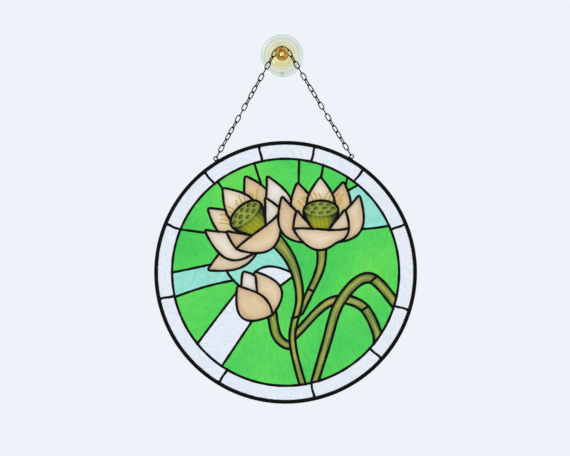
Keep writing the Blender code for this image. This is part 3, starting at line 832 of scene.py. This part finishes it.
def clearTextured():
    # clear rolled glass with a brushed, watery face: see-through, with fine bluish and white streaks; the
    # streaks are the glass's own, and the bluish tint is painted light, standing for sky seen through the
    # glass
    made, tree, shader = newMaterial("clearTexturedGlass", {
        "Transmission Weight": 1.0, "IOR": 1.52, "Roughness": 0.10})
    _, _, streaks = streaksOnSheet(tree, 3.2, 0.007, 5.0, 0.65, 1.6)
    colour = addNode(tree, "ValToRGB", {"stops": [
        (0.28, "#DCE5F4"), (0.46, "#F0F4FA"), (0.64, "#FFFFFF")]}, {"Fac": streaks})
    finishFace(tree, shader, colour, streaks, 0.35, 0.0005)
    return made


def opalPetal():
    # hand rolled opal glass: milky, lets light through but no view, white wisps swirled into
    # peach along the petal, darker peach near the lead, with fired ochre stamens and a yellow wash
    made, tree, shader = newMaterial("creamOpalGlass", {"IOR": 1.52, "Roughness": 0.22})
    _, longWay, wisps = streaksOnSheet(tree, 3.0, 0.020, 4.0, 0.55, 0.9)
    tone, edge, paint, wash = [addNode(tree, "Attribute", {"attribute_name": name}).outputs["Fac"]
                               for name in readBy["cream_opal_glass"]]
    # level = 0.62 tone + 0.19 + 0.75 wisps - 0.375 + 0.16 edge - 0.10
    level = addNode(tree, "Math", {"operation": "MULTIPLY_ADD", 1: 0.62, 2: 0.19}, {0: tone})
    spread = addNode(tree, "Math", {"operation": "MULTIPLY_ADD", 1: 0.75, 2: -0.375}, {0: wisps})
    near = addNode(tree, "Math", {"operation": "MULTIPLY_ADD", 1: 0.16, 2: -0.10}, {0: edge})
    level = addNode(tree, "Math", {"operation": "ADD"}, {0: level, 1: spread})
    level = addNode(tree, "Math", {"operation": "ADD", "use_clamp": True}, {0: level, 1: near})
    colour = addNode(tree, "ValToRGB", {"stops": [
        (0.05, "#E6C9A0"), (0.35, "#F0DBB8"), (0.60, "#F6EAD6"), (0.88, "#FAF7F1")]}, {"Fac": level})
    for share, enamel in ((wash, "#EFE08A"), (paint, "#D09412")):
        colour = addNode(tree, "Mix", {"data_type": "RGBA", "blend_type": "MIX", 7: linear(enamel)},
                         {0: share, 6: colour}).outputs[2]
    fine = addNode(tree, "TexNoise", {"Scale": 1 / 0.004, "Detail": 3.0}, {"Vector": longWay})
    bump = finishFace(tree, shader, colour, fine, 0.2, 0.0003)
    letThrough(tree, shader, colour, bump, 0.55)
    return made


def paintedPod():
    # olive glass with fired brown-green trace paint, shaded with a soft brush: bright where the glass is
    # bare, nearly black where the paint is thick;
    # the darkness also holds painted shade at the pod's sides, under its disc and in its seed holes
    made, tree, shader = newMaterial("olivePaintedGlass", {"IOR": 1.52, "Roughness": 0.28})
    sheet = addNode(tree, "UVMap", {"uv_map": "sheet"})
    shade, disc = [addNode(tree, "Attribute", {"attribute_name": name}).outputs["Fac"]
                   for name in readBy["olive_painted_glass"]]
    brush = addNode(tree, "TexNoise", {"Scale": 1 / 0.004, "Detail": 4.0, "Roughness": 0.6},
                    {"Vector": sheet})
    # level = shade + 0.22 brush - 0.11
    level = addNode(tree, "Math", {"operation": "MULTIPLY_ADD", 1: 0.22, 2: -0.11}, {0: brush})
    level = addNode(tree, "Math", {"operation": "ADD", "use_clamp": True}, {0: level, 1: shade})
    body = addNode(tree, "ValToRGB", {"stops": [
        (0.05, "#C2C20C"), (0.35, "#9AA30C"), (0.65, "#56700F"), (0.95, "#1F300A")]}, {"Fac": level})
    top = addNode(tree, "ValToRGB", {"stops": [
        (0.05, "#CDD266"), (0.30, "#AAB444"), (0.60, "#617422"), (0.95, "#1C260A")]}, {"Fac": level})
    colour = addNode(tree, "Mix", {"data_type": "RGBA", "blend_type": "MIX"},
                     {0: disc, 6: body, 7: top}).outputs[2]
    bump = finishFace(tree, shader, colour, brush, 0.15, 0.0002)
    letThrough(tree, shader, colour, bump, 0.55)
    return made


def streakyOlive():
    # streaky cathedral glass cut along its streaks: dark olive at the lead, yellow-green in the middle
    made, tree, shader = newMaterial("oliveStreakyGlass", {
        "Transmission Weight": 1.0, "IOR": 1.52, "Roughness": 0.16})
    _, _, streaks = streaksOnSheet(tree, 7.0, 0.030, 4.0, 0.6, 0.4)
    # level = streaks + 0.16 - 0.42 |across|
    across = addNode(tree, "Attribute", {"attribute_name": "across"}).outputs["Fac"]
    off = addNode(tree, "Math", {"operation": "ABSOLUTE"}, {0: across})
    off = addNode(tree, "Math", {"operation": "MULTIPLY_ADD", 1: -0.42, 2: 0.16}, {0: off})
    level = addNode(tree, "Math", {"operation": "ADD", "use_clamp": True}, {0: off, 1: streaks})
    colour = addNode(tree, "ValToRGB", {"stops": [
        (0.15, "#3A5618"), (0.38, "#667F22"), (0.56, "#929E2C"), (0.76, "#BEBA4C")]}, {"Fac": level})
    finishFace(tree, shader, colour, streaks, 0.25, 0.0004)
    return made


def patinaLead(name, light, dark, grain):
    # solder and lead blackened with patina, then waxed: nearly black, a soft gleam on the rounded
    # tops, a little brown metal where it has been rubbed
    made, tree, shader = newMaterial(name, {"Metallic": 1.0, "Coat Weight": 0.12, "Coat Roughness": 0.28})
    place = addNode(tree, "TexCoord").outputs["Object"]
    cloud = addNode(tree, "TexNoise", {"Scale": 1 / 0.009, "Detail": 5.0, "Roughness": 0.6},
                    {"Vector": place})
    colour = addNode(tree, "ValToRGB", {"stops": [(0.42, dark), (0.75, light)]}, {"Fac": cloud})
    rough = addNode(tree, "MapRange", {"To Min": 0.34, "To Max": 0.52}, {"Value": cloud})
    ripples = addNode(tree, "TexNoise", {"Scale": 1 / grain, "Detail": 3.0}, {"Vector": place})
    plug(shader, {"Roughness": rough})
    finishFace(tree, shader, colour, ripples, 0.35, 0.0003)
    return made


def turnedBrass():
    # turned and polished brass, lightly tarnished: warm gold with fine turning lines round its axis
    made, tree, shader = newMaterial("polishedBrass", {"Metallic": 1.0})
    place = addNode(tree, "TexCoord").outputs["Object"]
    tarnish = addNode(tree, "TexNoise", {"Scale": 1 / 0.004, "Detail": 4.0}, {"Vector": place})
    colour = addNode(tree, "ValToRGB", {"stops": [(0.35, "#8E661A"), (0.65, "#CF9F3C")]},
                     {"Fac": tarnish})
    rough = addNode(tree, "MapRange", {"To Min": 0.20, "To Max": 0.34}, {"Value": tarnish})
    # turning lines half a millimetre apart: sin(2 pi radius / 0.0005)
    rings = addNode(tree, "Math", {"operation": "MULTIPLY", 1: 2 * math.pi / 0.0005},
                    {0: fromAxis(tree, place)})
    lines = addNode(tree, "Math", {"operation": "SINE"}, {0: rings})
    plug(shader, {"Roughness": rough})
    finishFace(tree, shader, colour, lines, 0.08, 0.0001)
    return made


def softVinyl():
    # moulded clear vinyl, gone slightly yellow with age: see-through, yellower where it is thick
    made, tree, shader = newMaterial("clearSoftVinyl", {
        "Transmission Weight": 1.0, "IOR": 1.45, "Roughness": 0.16})
    place = addNode(tree, "TexCoord").outputs["Object"]
    haze = addNode(tree, "TexNoise", {"Scale": 1 / 0.006, "Detail": 3.0}, {"Vector": place})
    wander = addNode(tree, "Math", {"operation": "MULTIPLY_ADD", 1: 0.0008},
                     {0: haze, 2: fromAxis(tree, place)})
    reach = addNode(tree, "MapRange", {"From Min": 0.002, "From Max": 0.027}, {"Value": wander})
    # painted shade: each moulded step gets a darker line painted into the colour by radius, standing for
    # the wall seen on edge
    colour = addNode(tree, "ValToRGB", {"stops": [
        (0.0, "#F2DC8E"), (0.37, "#F0E2A4"), (0.40, "#CFBA70"), (0.43, "#EFE6B4"), (0.51, "#ECE7BE"),
        (0.535, "#C8C088"), (0.56, "#E9EACB"), (0.72, "#E3E9D3"), (0.742, "#BAC3A0"),
        (0.77, "#E8EFE3"), (0.88, "#E6EEE6"), (0.93, "#B0BEB2")]}, {"Fac": reach})
    finishFace(tree, shader, colour, haze, 0.1, 0.0002)
    return made


def paleFloor():
    # matt painted studio floor, very slightly mottled
    made, tree, shader = newMaterial("paleStudioFloor", {"Roughness": 0.8})
    place = addNode(tree, "TexCoord").outputs["Object"]
    mottle = addNode(tree, "TexNoise", {"Scale": 2.0, "Detail": 4.0}, {"Vector": place})
    colour = addNode(tree, "ValToRGB", {"stops": [(0.3, "#F4F6F8"), (0.7, "#FAFBFC")]}, {"Fac": mottle})
    plug(shader, {"Base Color": colour})
    return made


# Lead and solder

bead = {
    "halfWidth": 1.46,         # as seen from the front
    "height": 1.05,            # over the glass
    "seat": 1.40,              # half of the gap that holds the glass
    "web": 0.42,               # half the width between two panes
    "unevenness": 0.12,
    "step": 1.3,               # along the line
    "pool": 1.80,              # radius of the solder pool where lines meet
}


def beadProfile(widths, steps=7):
    # two domes on a thin web: (w cos a, seat + h sin a) in front and the same turned over behind
    a = np.linspace(0, math.pi, steps)
    x, y = np.cos(a) * bead["halfWidth"], np.sin(a) * bead["height"]
    front = np.stack([x, bead["seat"] + y], -1)
    back = np.stack([-x, -bead["seat"] - y], -1)
    web = np.array([(-bead["web"], bead["seat"]), (-bead["web"], -bead["seat"])])
    outline = np.concatenate([front, web, back, -web])
    reach = np.where(np.abs(outline[:, 0]) > bead["web"], widths[:, None], 1.0)
    rise = 1 + (widths[:, None] - 1) * 0.5
    return np.stack([outline[:, 0] * reach, outline[:, 1] * rise], -1)


def leadBead(line, closed, seed):
    # the bead carried along a line of the panel, a little wider and narrower as it was soldered
    path = inPlane(line)
    way = along(path, closed)
    up = np.broadcast_to(np.array([0.0, -1.0, 0.0]), path.shape)
    side = np.cross(up, way)
    s = np.arange(len(line)) * bead["step"]
    if closed:
        k = 2 * math.pi * np.array([31, 53, 83]) / (len(line) * bead["step"])
    else:
        k = np.array([0.23, 0.41, 0.67])
    phase = np.random.default_rng(seed).uniform(0, 2 * math.pi, 3)
    wander = np.sin(s[:, None] * k + phase) @ np.array([0.5, 0.3, 0.2])
    return carry(path, side, up, beadProfile(1 + bead["unevenness"] * wander), closed)


def solderPools(places):
    # low round pools on both faces: (pool cos a, seat + (height + 0.1) sin a) turned, each its own size
    a = np.linspace(0, math.pi / 2, 7)
    front = np.stack([np.cos(a) * bead["pool"], bead["seat"] + np.sin(a) * (bead["height"] + 0.10)], -1)
    profile = np.concatenate([front[::-1] * (1, -1), [(bead["web"], -bead["seat"]),
                              (bead["web"], bead["seat"])], front])
    points, faces = turned(profile, 18, False)
    sizes = np.random.default_rng(5).uniform(0.86, 1.08, len(places))
    axes = np.eye(3) * np.stack([sizes, np.ones(len(sizes)), sizes], -1)[:, None]
    return copies(points, faces, axes, inPlane(places))


def leadNet(lines, junctions):
    # a bead round the picture, one on every line within it, and one on each cut of the border, which
    # wavers by 0.35 sin(2 pi t), with a pool of solder wherever lines meet
    ringRadius, rimRadius = panel["pictureRadius"], panel["insideRim"]
    around = int(2 * math.pi * ringRadius / bead["step"])
    ring = direction(np.linspace(0, 360, around, endpoint=False)) * ringRadius
    parts = [leadBead(ring, True, 1)]
    for number, line in enumerate(lines):
        if not onRing(line):
            parts.append(leadBead(evenly(line, bead["step"]), False, 10 + number))
    cuts = direction(np.array(panel["borderCuts"], float))
    t = np.linspace(0, 1, 13)[:, None]
    for number, out in enumerate(cuts):
        waver = np.array([-out[1], out[0]]) * 0.35 * np.sin(2 * math.pi * t + number)
        line = out * (ringRadius + (rimRadius + 0.2 - ringRadius) * t) + waver
        parts.append(leadBead(line, False, 400 + number))
    parts.append(solderPools(np.concatenate([junctions, cuts * ringRadius, cuts * (rimRadius - 0.3)])))
    return parts


# Rim and hanging loops

rim = {
    "halfDepth": 3.3,
    "lip": 1.2,
    "slot": 1.8,
    "rounding": (0.35, 1.2, 1.2, 0.35, 0.3, 0.2, 0.2, 0.3),   # of the channel's eight corners
    "loopAngle": 30.6,
    "loopRadius": 2.25,        # to the middle of its wire
    "loopWire": 0.65,          # radius
    "loopReach": 152.4,        # panel middle to loop middle
    "solder": (3.0, 1.15, 2.1),    # half sizes of the mound that holds a loop
}


def rimRing():
    # a rolled channel: the rounded profile (radius, depth) turned about the panel's middle
    inside, outside = panel["insideRim"], panel["radius"]
    half, slot, floor = rim["halfDepth"], rim["slot"], panel["radius"] - rim["lip"]
    corners = [(inside, -half), (outside, -half), (outside, half), (inside, half),
               (inside, slot), (floor, slot), (floor, -slot), (inside, -slot)]
    return turned(roundedCorners(corners, rim["rounding"], 6), 400, True)


def wireRing(path, up, radius, sides, swell=0.0):
    # a round wire carried along a closed path, with a small weld seam where the path starts
    angle = np.linspace(0, 2 * math.pi, sides, endpoint=False)
    circle = np.stack([np.cos(angle), np.sin(angle)], -1) * radius
    way = along(path, True)
    up = np.broadcast_to(up, path.shape)
    gap = np.linalg.norm(path - path[0], axis=1)
    thick = 1 + swell * np.exp(-(gap / 0.55) ** 2)
    return carry(path, np.cross(up, way), up, circle[None] * thick[:, None, None], True)


def hangingLoops():
    # at each loop's angle, a ring of wire in the panel's plane and a mound of solder at the rim
    parts = []
    for side in (-1, 1):
        out = direction(90.0 - side * rim["loopAngle"])
        ring = direction(np.linspace(0, 360, 48, endpoint=False)) * rim["loopRadius"]
        ring = out * rim["loopReach"] + ring
        parts.append(wireRing(inPlane(ring), np.array([0.0, -1.0, 0.0]), rim["loopWire"], 14))
        o, across = inPlane(out), inPlane(np.array([-out[1], out[0]]))
        axes = np.stack([across, o, np.cross(across, o)])
        parts.append(mound(o * panel["radius"], rim["solder"], axes))
    return parts


# Chain

chain = {
    "linkLength": 10.2,
    "linkWidth": 5.9,
    "wire": 0.65,              # radius
    "neck": 5.0,               # radius of the cup's neck, on which the chain rests
}


def chainContacts():
    # where the links of the right half touch, worked out so that they fill the way from neck to loop
    wire, half = chain["wire"], chain["linkWidth"] / 2 - chain["wire"]
    above = chain["neck"] + half * math.sqrt(0.5) + wire + 0.05
    eye = direction(90.0 - rim["loopAngle"]) * rim["loopReach"] + (0.0, panel["middle"][2])
    rest = rim["loopRadius"] - rim["loopWire"]
    pitch = fullPitch = chain["linkLength"] - 4 * wire
    for _ in range(12):
        top = math.hypot(above, pitch / 2)
        turn = 2 * math.asin(pitch / (2 * top))
        second = np.array([math.sin(turn), math.cos(turn)]) * top
        last = eye + (second - eye) / np.linalg.norm(second - eye) * rest
        length = np.linalg.norm(last - second)
        count = 2 * round(length / fullPitch / 2)
        pitch = length / count
    run = second + (last - second) * np.linspace(0, 1, count + 1)[:, None]
    return np.concatenate([[(0.0, top)], run])


def chainLinks():
    # one link, an oval |x / a|^2.7 + |y / b|^2.7 = 1, turned and set between each pair of contacts
    contacts = chainContacts()
    pitch = np.linalg.norm(contacts[2] - contacts[1])
    a, b, power = pitch / 2 + chain["wire"], chain["linkWidth"] / 2 - chain["wire"], 2 / 2.7
    t = np.linspace(0, 2 * math.pi, 45) + math.pi / 2
    x, y = (np.sign(part) * np.abs(part) ** power for part in (np.cos(t), np.sin(t)))
    path = equalSteps(np.stack([a * x, b * y, 0 * t], -1), len(t))[:-1]
    points, faces = wireRing(path, np.array([0.0, 0.0, 1.0]), chain["wire"], 10, 0.16)
    # every link is turned by a quarter, and a little more each, so that the last one lies in its loop
    last = len(contacts) - 2
    swing = (45 - 90 * last) % 180 + 180
    number = np.arange(last + 1)
    parts = []
    for side in (1, -1):
        ends = inPlane(contacts * (side, 1))
        way = ends[1:] - ends[:-1]
        way = way / np.linalg.norm(way, axis=1, keepdims=True)
        flat = np.cross(np.broadcast_to([0.0, 1.0, 0.0], way.shape), way)
        roll = side * np.radians(45 + 90 * number + swing * number / last)[:, None]
        across = flat * np.cos(roll) + np.cross(way, flat) * np.sin(roll)
        axes = np.stack([way, across, np.cross(way, across)], 1)
        parts.append(copies(points, faces, axes, (ends[1:] + ends[:-1]) / 2))
    return parts


# Suction cup and knob

cup = {
    "back": [(0, 1.3), (8, 1.1), (16, 0.7), (21.2, 0.0), (24.4, 0.0)],      # radius, depth
    "front": [(25, 0.45), (24.2, 0.95), (20.6, 1.75), (20.3, 2.3), (19.0, 2.9), (15.4, 3.5),
              (15.0, 4.1), (12.4, 4.6), (11.8, 5.5), (9.2, 6.8), (7.4, 8.2), (5.3, 9.0),
              (5, 9.6), (5, 16.6), (4.6, 17.1), (2.5, 17.15), (2.5, 23.6), (1.9, 24.2), (0, 24.3)],
    "tab": (1.7, 2.9, 0.75),   # half sizes of the moulded tab on the flange: across, up and deep
    "tabMiddle": (0.0, -1.45, -21.6),
}

knob = {
    "corners": [(2.8, 17.4), (6.3, 17.4), (7.5, 18.8), (7.5, 21.5), (6.3, 23.5), (4.7, 23.6),
                (2.8, 22.2)],
    "rounding": [0.3, 0.6, 1.4, 1.6, 1.0, 1.0, 0.6],
}


def suctionCup():
    # the profile turned about the neck's axis, with the hollow that grips the window behind
    profile = evenly(np.array(cup["back"] + cup["front"], float), 0.5)
    profile[[0, -1], 0] = 0
    axes = [(1.0, 0.0, 0.0), (0.0, 0.0, -1.0), (0.0, -1.0, 0.0)]
    return [turned(profile, 110, False), mound(cup["tabMiddle"], cup["tab"], axes, 0.5)]


def brassKnob():
    # a thick ring with a dished front: its profile rounded at every corner and turned
    return [turned(roundedCorners(knob["corners"], knob["rounding"], 8), 96, True)]


# Putting the pieces together

def addPiece(name, parts, material, middle, slot, nodes, **more):
    # a finished piece, with the body it rides on and the CAD nodes it stands for; its material's slot is
    # not used
    made = putMesh(name, parts, material, middle, **more)
    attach(made, "root")
    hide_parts(*nodes)
    return made


def frontTriangles(node):
    # the triangles of a CAD pane's front face, in millimetres from the panel's middle
    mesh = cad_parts[node].data
    mesh.calc_loop_triangles()
    points = np.empty(len(mesh.vertices) * 3)
    mesh.vertices.foreach_get("co", points)
    points = points.reshape(-1, 3) * 1000 - np.array(panel["middle"])
    cells = np.empty(len(mesh.loop_triangles) * 3, int)
    mesh.loop_triangles.foreach_get("vertices", cells)
    corners = points[cells.reshape(-1, 3)]
    front = corners[(corners[:, :, 1] < -panel["glassHalf"] + 0.05).all(1)]
    return front[:, :, [0, 2]]


def borderPane(start, end, number):
    # a curved strip: (r cos a, r sin a) on a grid, its ends drawn in by asin(inset / r) from the cuts
    inner, rows = panel["pictureRadius"] + panel["edgeInset"], 15
    r = np.linspace(inner, panel["glassOutside"], rows)[:, None]
    keepOff = np.degrees(np.arcsin(panel["edgeInset"] / r))
    columns = int((end - start) * 2.4 / 1.5)    # a degree is about 2.4 mm long, a column 1.5 mm
    t = np.linspace(0, 1, columns)[None]
    flat = direction(start + keepOff + (end - start - 2 * keepOff) * t) * r[..., None]
    cells, flat = gridFaces(rows, columns), flat.reshape(-1, 2)
    triangles = np.concatenate([cells[:, [0, 1, 2]], cells[:, [0, 2, 3]]])
    if triangleAreas(flat, triangles).mean() < 0:
        triangles = triangles[:, ::-1]
    turn = 25.0 + 47 * number
    points, faces, _ = slab(flat, triangles, turn)
    return points, faces, np.tile((onSheet(flat, turn) + 40 * number) * 0.001, (2, 1))


# The glass of each kind of pane
glassOf = {
    "green_pane": "green_cathedral_glass", "aqua_pane": "aqua_glass",
    "clear_pane": "clear_textured_glass", "bud_petal": "cream_opal_glass",
    "left_blossom_petal": "cream_opal_glass", "right_blossom_petal": "cream_opal_glass",
    "left_blossom_pod": "olive_painted_glass", "right_blossom_pod": "olive_painted_glass",
    "stem": "olive_streaky_glass", "leaf_ribbon": "olive_streaky_glass",
}


def dressPane(points, edge, shape, behindPod, number):
    # the numbers that a pane's material reads, and its place on the sheet that it was cut from
    values = {key: np.zeros(len(points)) for key in ("across", "paint", "wash", "shade", "disc")}
    values |= {"edge": smoothStep(0.5, 9.0, edge), "tone": np.full(len(points), 0.5)}
    flowerSide = shape["stem"].split("_")[0]
    if shape["stem"].endswith("pane"):
        sheet = onSheet(points, 57.0 * number)
    else:
        s, side, across = spineCoordinates(points, shape)
        sheet = np.stack([s, side], -1)
        values["across"] = np.clip(across, -1, 1)
        values["tone"] = np.full(len(points), shape["tone"])
    if shape["stem"].endswith("pod"):
        values["shade"], values["disc"] = podPaint(points, blossoms[flowerSide])
    elif behindPod:
        # the wash fades as exp(-d / 6) with the distance d from the pod's oval
        blossom = blossoms[flowerSide]
        a, b = podOval(points, blossom)
        reach = (np.hypot(a, b) - 1) * podHalfAxes(blossom)[1]
        values["wash"] = np.exp(-np.maximum(reach, 0) / 6.0) * 0.75 * smoothStep(-0.6, 0.4, b)
        values["paint"] = stamenPaint(points, blossom)
    sheet = (sheet + 37.0 * number) * 0.001
    return {key: np.tile(value, 2) for key, value in values.items()}, np.tile(sheet, (2, 1))


def holdingNode(stem, middle, fronts):
    # the CAD pane of this kind that has the point in it, or else the nearest one
    like = [name for name in fronts if name.startswith(stem)]
    holds = [name for name in like if len(insideTriangles(middle, fronts[name]))]
    away = [np.linalg.norm(fronts[name].mean((0, 1)) - middle) for name in like]
    return holds[0] if holds else like[int(np.argmin(away))]


def addPanes(materials):
    # cut, trace, smooth and mesh the picture, then join the panes that lie in the same CAD pane
    shapes = pictureShapes()
    flat, cells, owner, pane = cutPicture(shapes)
    lines, junctions = traceLines(flat, cells, pane)
    lines = [evenly(line, cutting["lineStep"]) for line in lines]
    made, found = meshPicture(lines, flat, cells, pane)
    print("picture cut into", len(found), "panes")
    podOrder = {shape["stem"][:-4]: n for n, shape in enumerate(shapes) if shape["stem"].endswith("pod")}
    fronts = {name: frontTriangles(name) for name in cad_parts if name.startswith(tuple(glassOf))}
    grouped = {}
    for number, (label, triangles) in enumerate(sorted(found.items())):
        order = owner[pane == label][0] - 1
        shape = shapes[order] if order >= 0 else {"stem": "green_pane"}
        stem = shape["stem"]
        behindPod = order < podOrder.get(stem.removesuffix("_petal"), -1)
        points, both, faces, edge = solidPane(made, triangles, 57.0 * number)
        values, sheet = dressPane(points, edge, shape, behindPod, number)
        node = holdingNode(stem, points[edge.argmax()], fronts)
        grouped.setdefault(node, []).append(((both, faces), values, sheet))
    glassFor = {name: next(glassOf[stem] for stem in glassOf if name.startswith(stem)) for name in fronts}
    for name, dressed in grouped.items():
        parts, values, sheets = zip(*dressed)
        values = {key: np.concatenate([v[key] for v in values]) for key in readBy.get(glassFor[name], ())}
        addPiece("glass_" + name, parts, materials[glassFor[name]], panel["middle"], glassFor[name],
                 [name], values=values, sheet=np.concatenate(sheets))
    missing = [name for name in fronts if name not in grouped]
    print("CAD panes left as they are:", missing or "none")
    for name in missing:
        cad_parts[name].data.materials[0] = materials[glassFor[name]]
    return lines, junctions


def addBorder(materials):
    # one curved strip of clear glass from each cut to the next
    cuts = panel["borderCuts"]
    for number, (start, end) in enumerate(zip(cuts, cuts[1:] + (cuts[0] + 360,))):
        points, faces, sheet = borderPane(start, end, number)
        addPiece(f"glass_border_{number + 1:02d}", [(points, faces)], materials["clear_textured_glass"],
                 panel["middle"], "clear_textured_glass", [f"border_pane_{number + 1:02d}"],
                 sheet=sheet)


studio = {
    "surround": "#EEF3FA",
    "aim": (0.0, 0.0, -0.2),
    "lamps": [("keyLamp", (-1.1, -1.7, 0.9), 0.9, 9.0), ("fillLamp", (1.4, -1.3, 0.1), 0.7, 4.0),
              ("backLamp", (0.8, 1.6, 0.9), 0.9, 6.0)],       # place, size and watts
    "floorRadius": 7500,       # mm
    "floorLevel": -1900,
}


def addStudio():
    # a pale even surround, soft lamps turned to the panel and a plain floor far below
    world = bpy.data.worlds.new("paleStudio")
    bpy.context.scene.world = world
    world.use_nodes = True
    background = world.node_tree.nodes["Background"]
    background.inputs["Color"].default_value = linear(studio["surround"])
    background.inputs["Strength"].default_value = 1.0
    for name, place, size, power in studio["lamps"]:
        lamp = bpy.data.lights.new(name, "AREA")
        lamp.size, lamp.energy = size, power
        holder = bpy.data.objects.new(name, lamp)
        holder.location = place
        way = np.array(studio["aim"]) - np.array(place)
        holder.rotation_euler = (math.atan2(math.hypot(way[0], way[1]), -way[2]), 0.0,
                                 math.atan2(way[1], way[0]) - math.pi / 2)
        bpy.context.scene.collection.objects.link(holder)
    sides, level = 96, (0, 0, studio["floorLevel"])
    ring = direction(np.linspace(0, 360, sides, endpoint=False)) * studio["floorRadius"]
    points = np.concatenate([np.column_stack([ring, np.zeros(sides)]), np.zeros((1, 3))]) + level
    fan = np.stack([np.full(sides, sides), np.arange(sides), np.roll(np.arange(sides), -1)], -1)
    floor = putMesh("studioFloor", [(points, fan)], paleFloor())


camera = {
    "place": (0.00015, -2.013, -0.198),
    "lens": 110.6,
    "roll": 0.95,              # degrees, as the photograph shows the panel turned
}


def addCamera():
    # level and straight ahead, turned only by the roll
    lens = bpy.data.cameras.new("camera")
    lens.lens, lens.sensor_width = camera["lens"], 36.0
    holder = bpy.data.objects.new("camera", lens)
    holder.rotation_mode = "XYZ"
    holder.location = camera["place"]
    holder.rotation_euler = (math.pi / 2, math.radians(camera["roll"]), 0.0)
    bpy.context.scene.collection.objects.link(holder)
    bpy.context.scene.camera = holder


def buildPanel():
    # studio first, then the glass, the lead and rim soldered round it, and what it hangs from
    addCamera()
    addStudio()
    bpy.context.scene.view_settings.view_transform = "Standard"
    print("studio and camera made")
    materials = {
        "green_cathedral_glass": cathedralGreen(), "aqua_glass": cathedralAqua(),
        "clear_textured_glass": clearTextured(), "cream_opal_glass": opalPetal(),
        "olive_painted_glass": paintedPod(), "olive_streaky_glass": streakyOlive(),
    }
    lines, junctions = addPanes(materials)
    addBorder(materials)
    print("glass made")
    lead = patinaLead("blackPatinaSolder", "#1B1714", "#070606", 0.004)
    channel = patinaLead("blackPatinaChannel", "#18140F", "#060606", 0.0025)
    addPiece("leadNet", leadNet(lines, junctions), lead, panel["middle"], "black_patina_lead",
             ["lead_net"])
    addPiece("rimChannel", [rimRing()] + hangingLoops(), channel, panel["middle"],
             "black_patina_lead", ["rim_with_loops"])
    print("lead and rim made")
    steel = patinaLead("darkSteelWire", "#241A14", "#0A0706", 0.0015)
    addPiece("chainOfLinks", chainLinks(), steel, (0.0, panel["middle"][1], 0.0), "dark_steel_chain",
             ["hanging_chain"])
    addPiece("suctionCup", suctionCup(), softVinyl(), (0.0, 0.0, 0.0), "clear_soft_plastic",
             ["suction_cup"])
    addPiece("brassKnob", brassKnob(), turnedBrass(), (0.0, 0.0, 0.0), "brass", ["brass_knob"])
    print("chain, cup and knob made")


buildPanel()
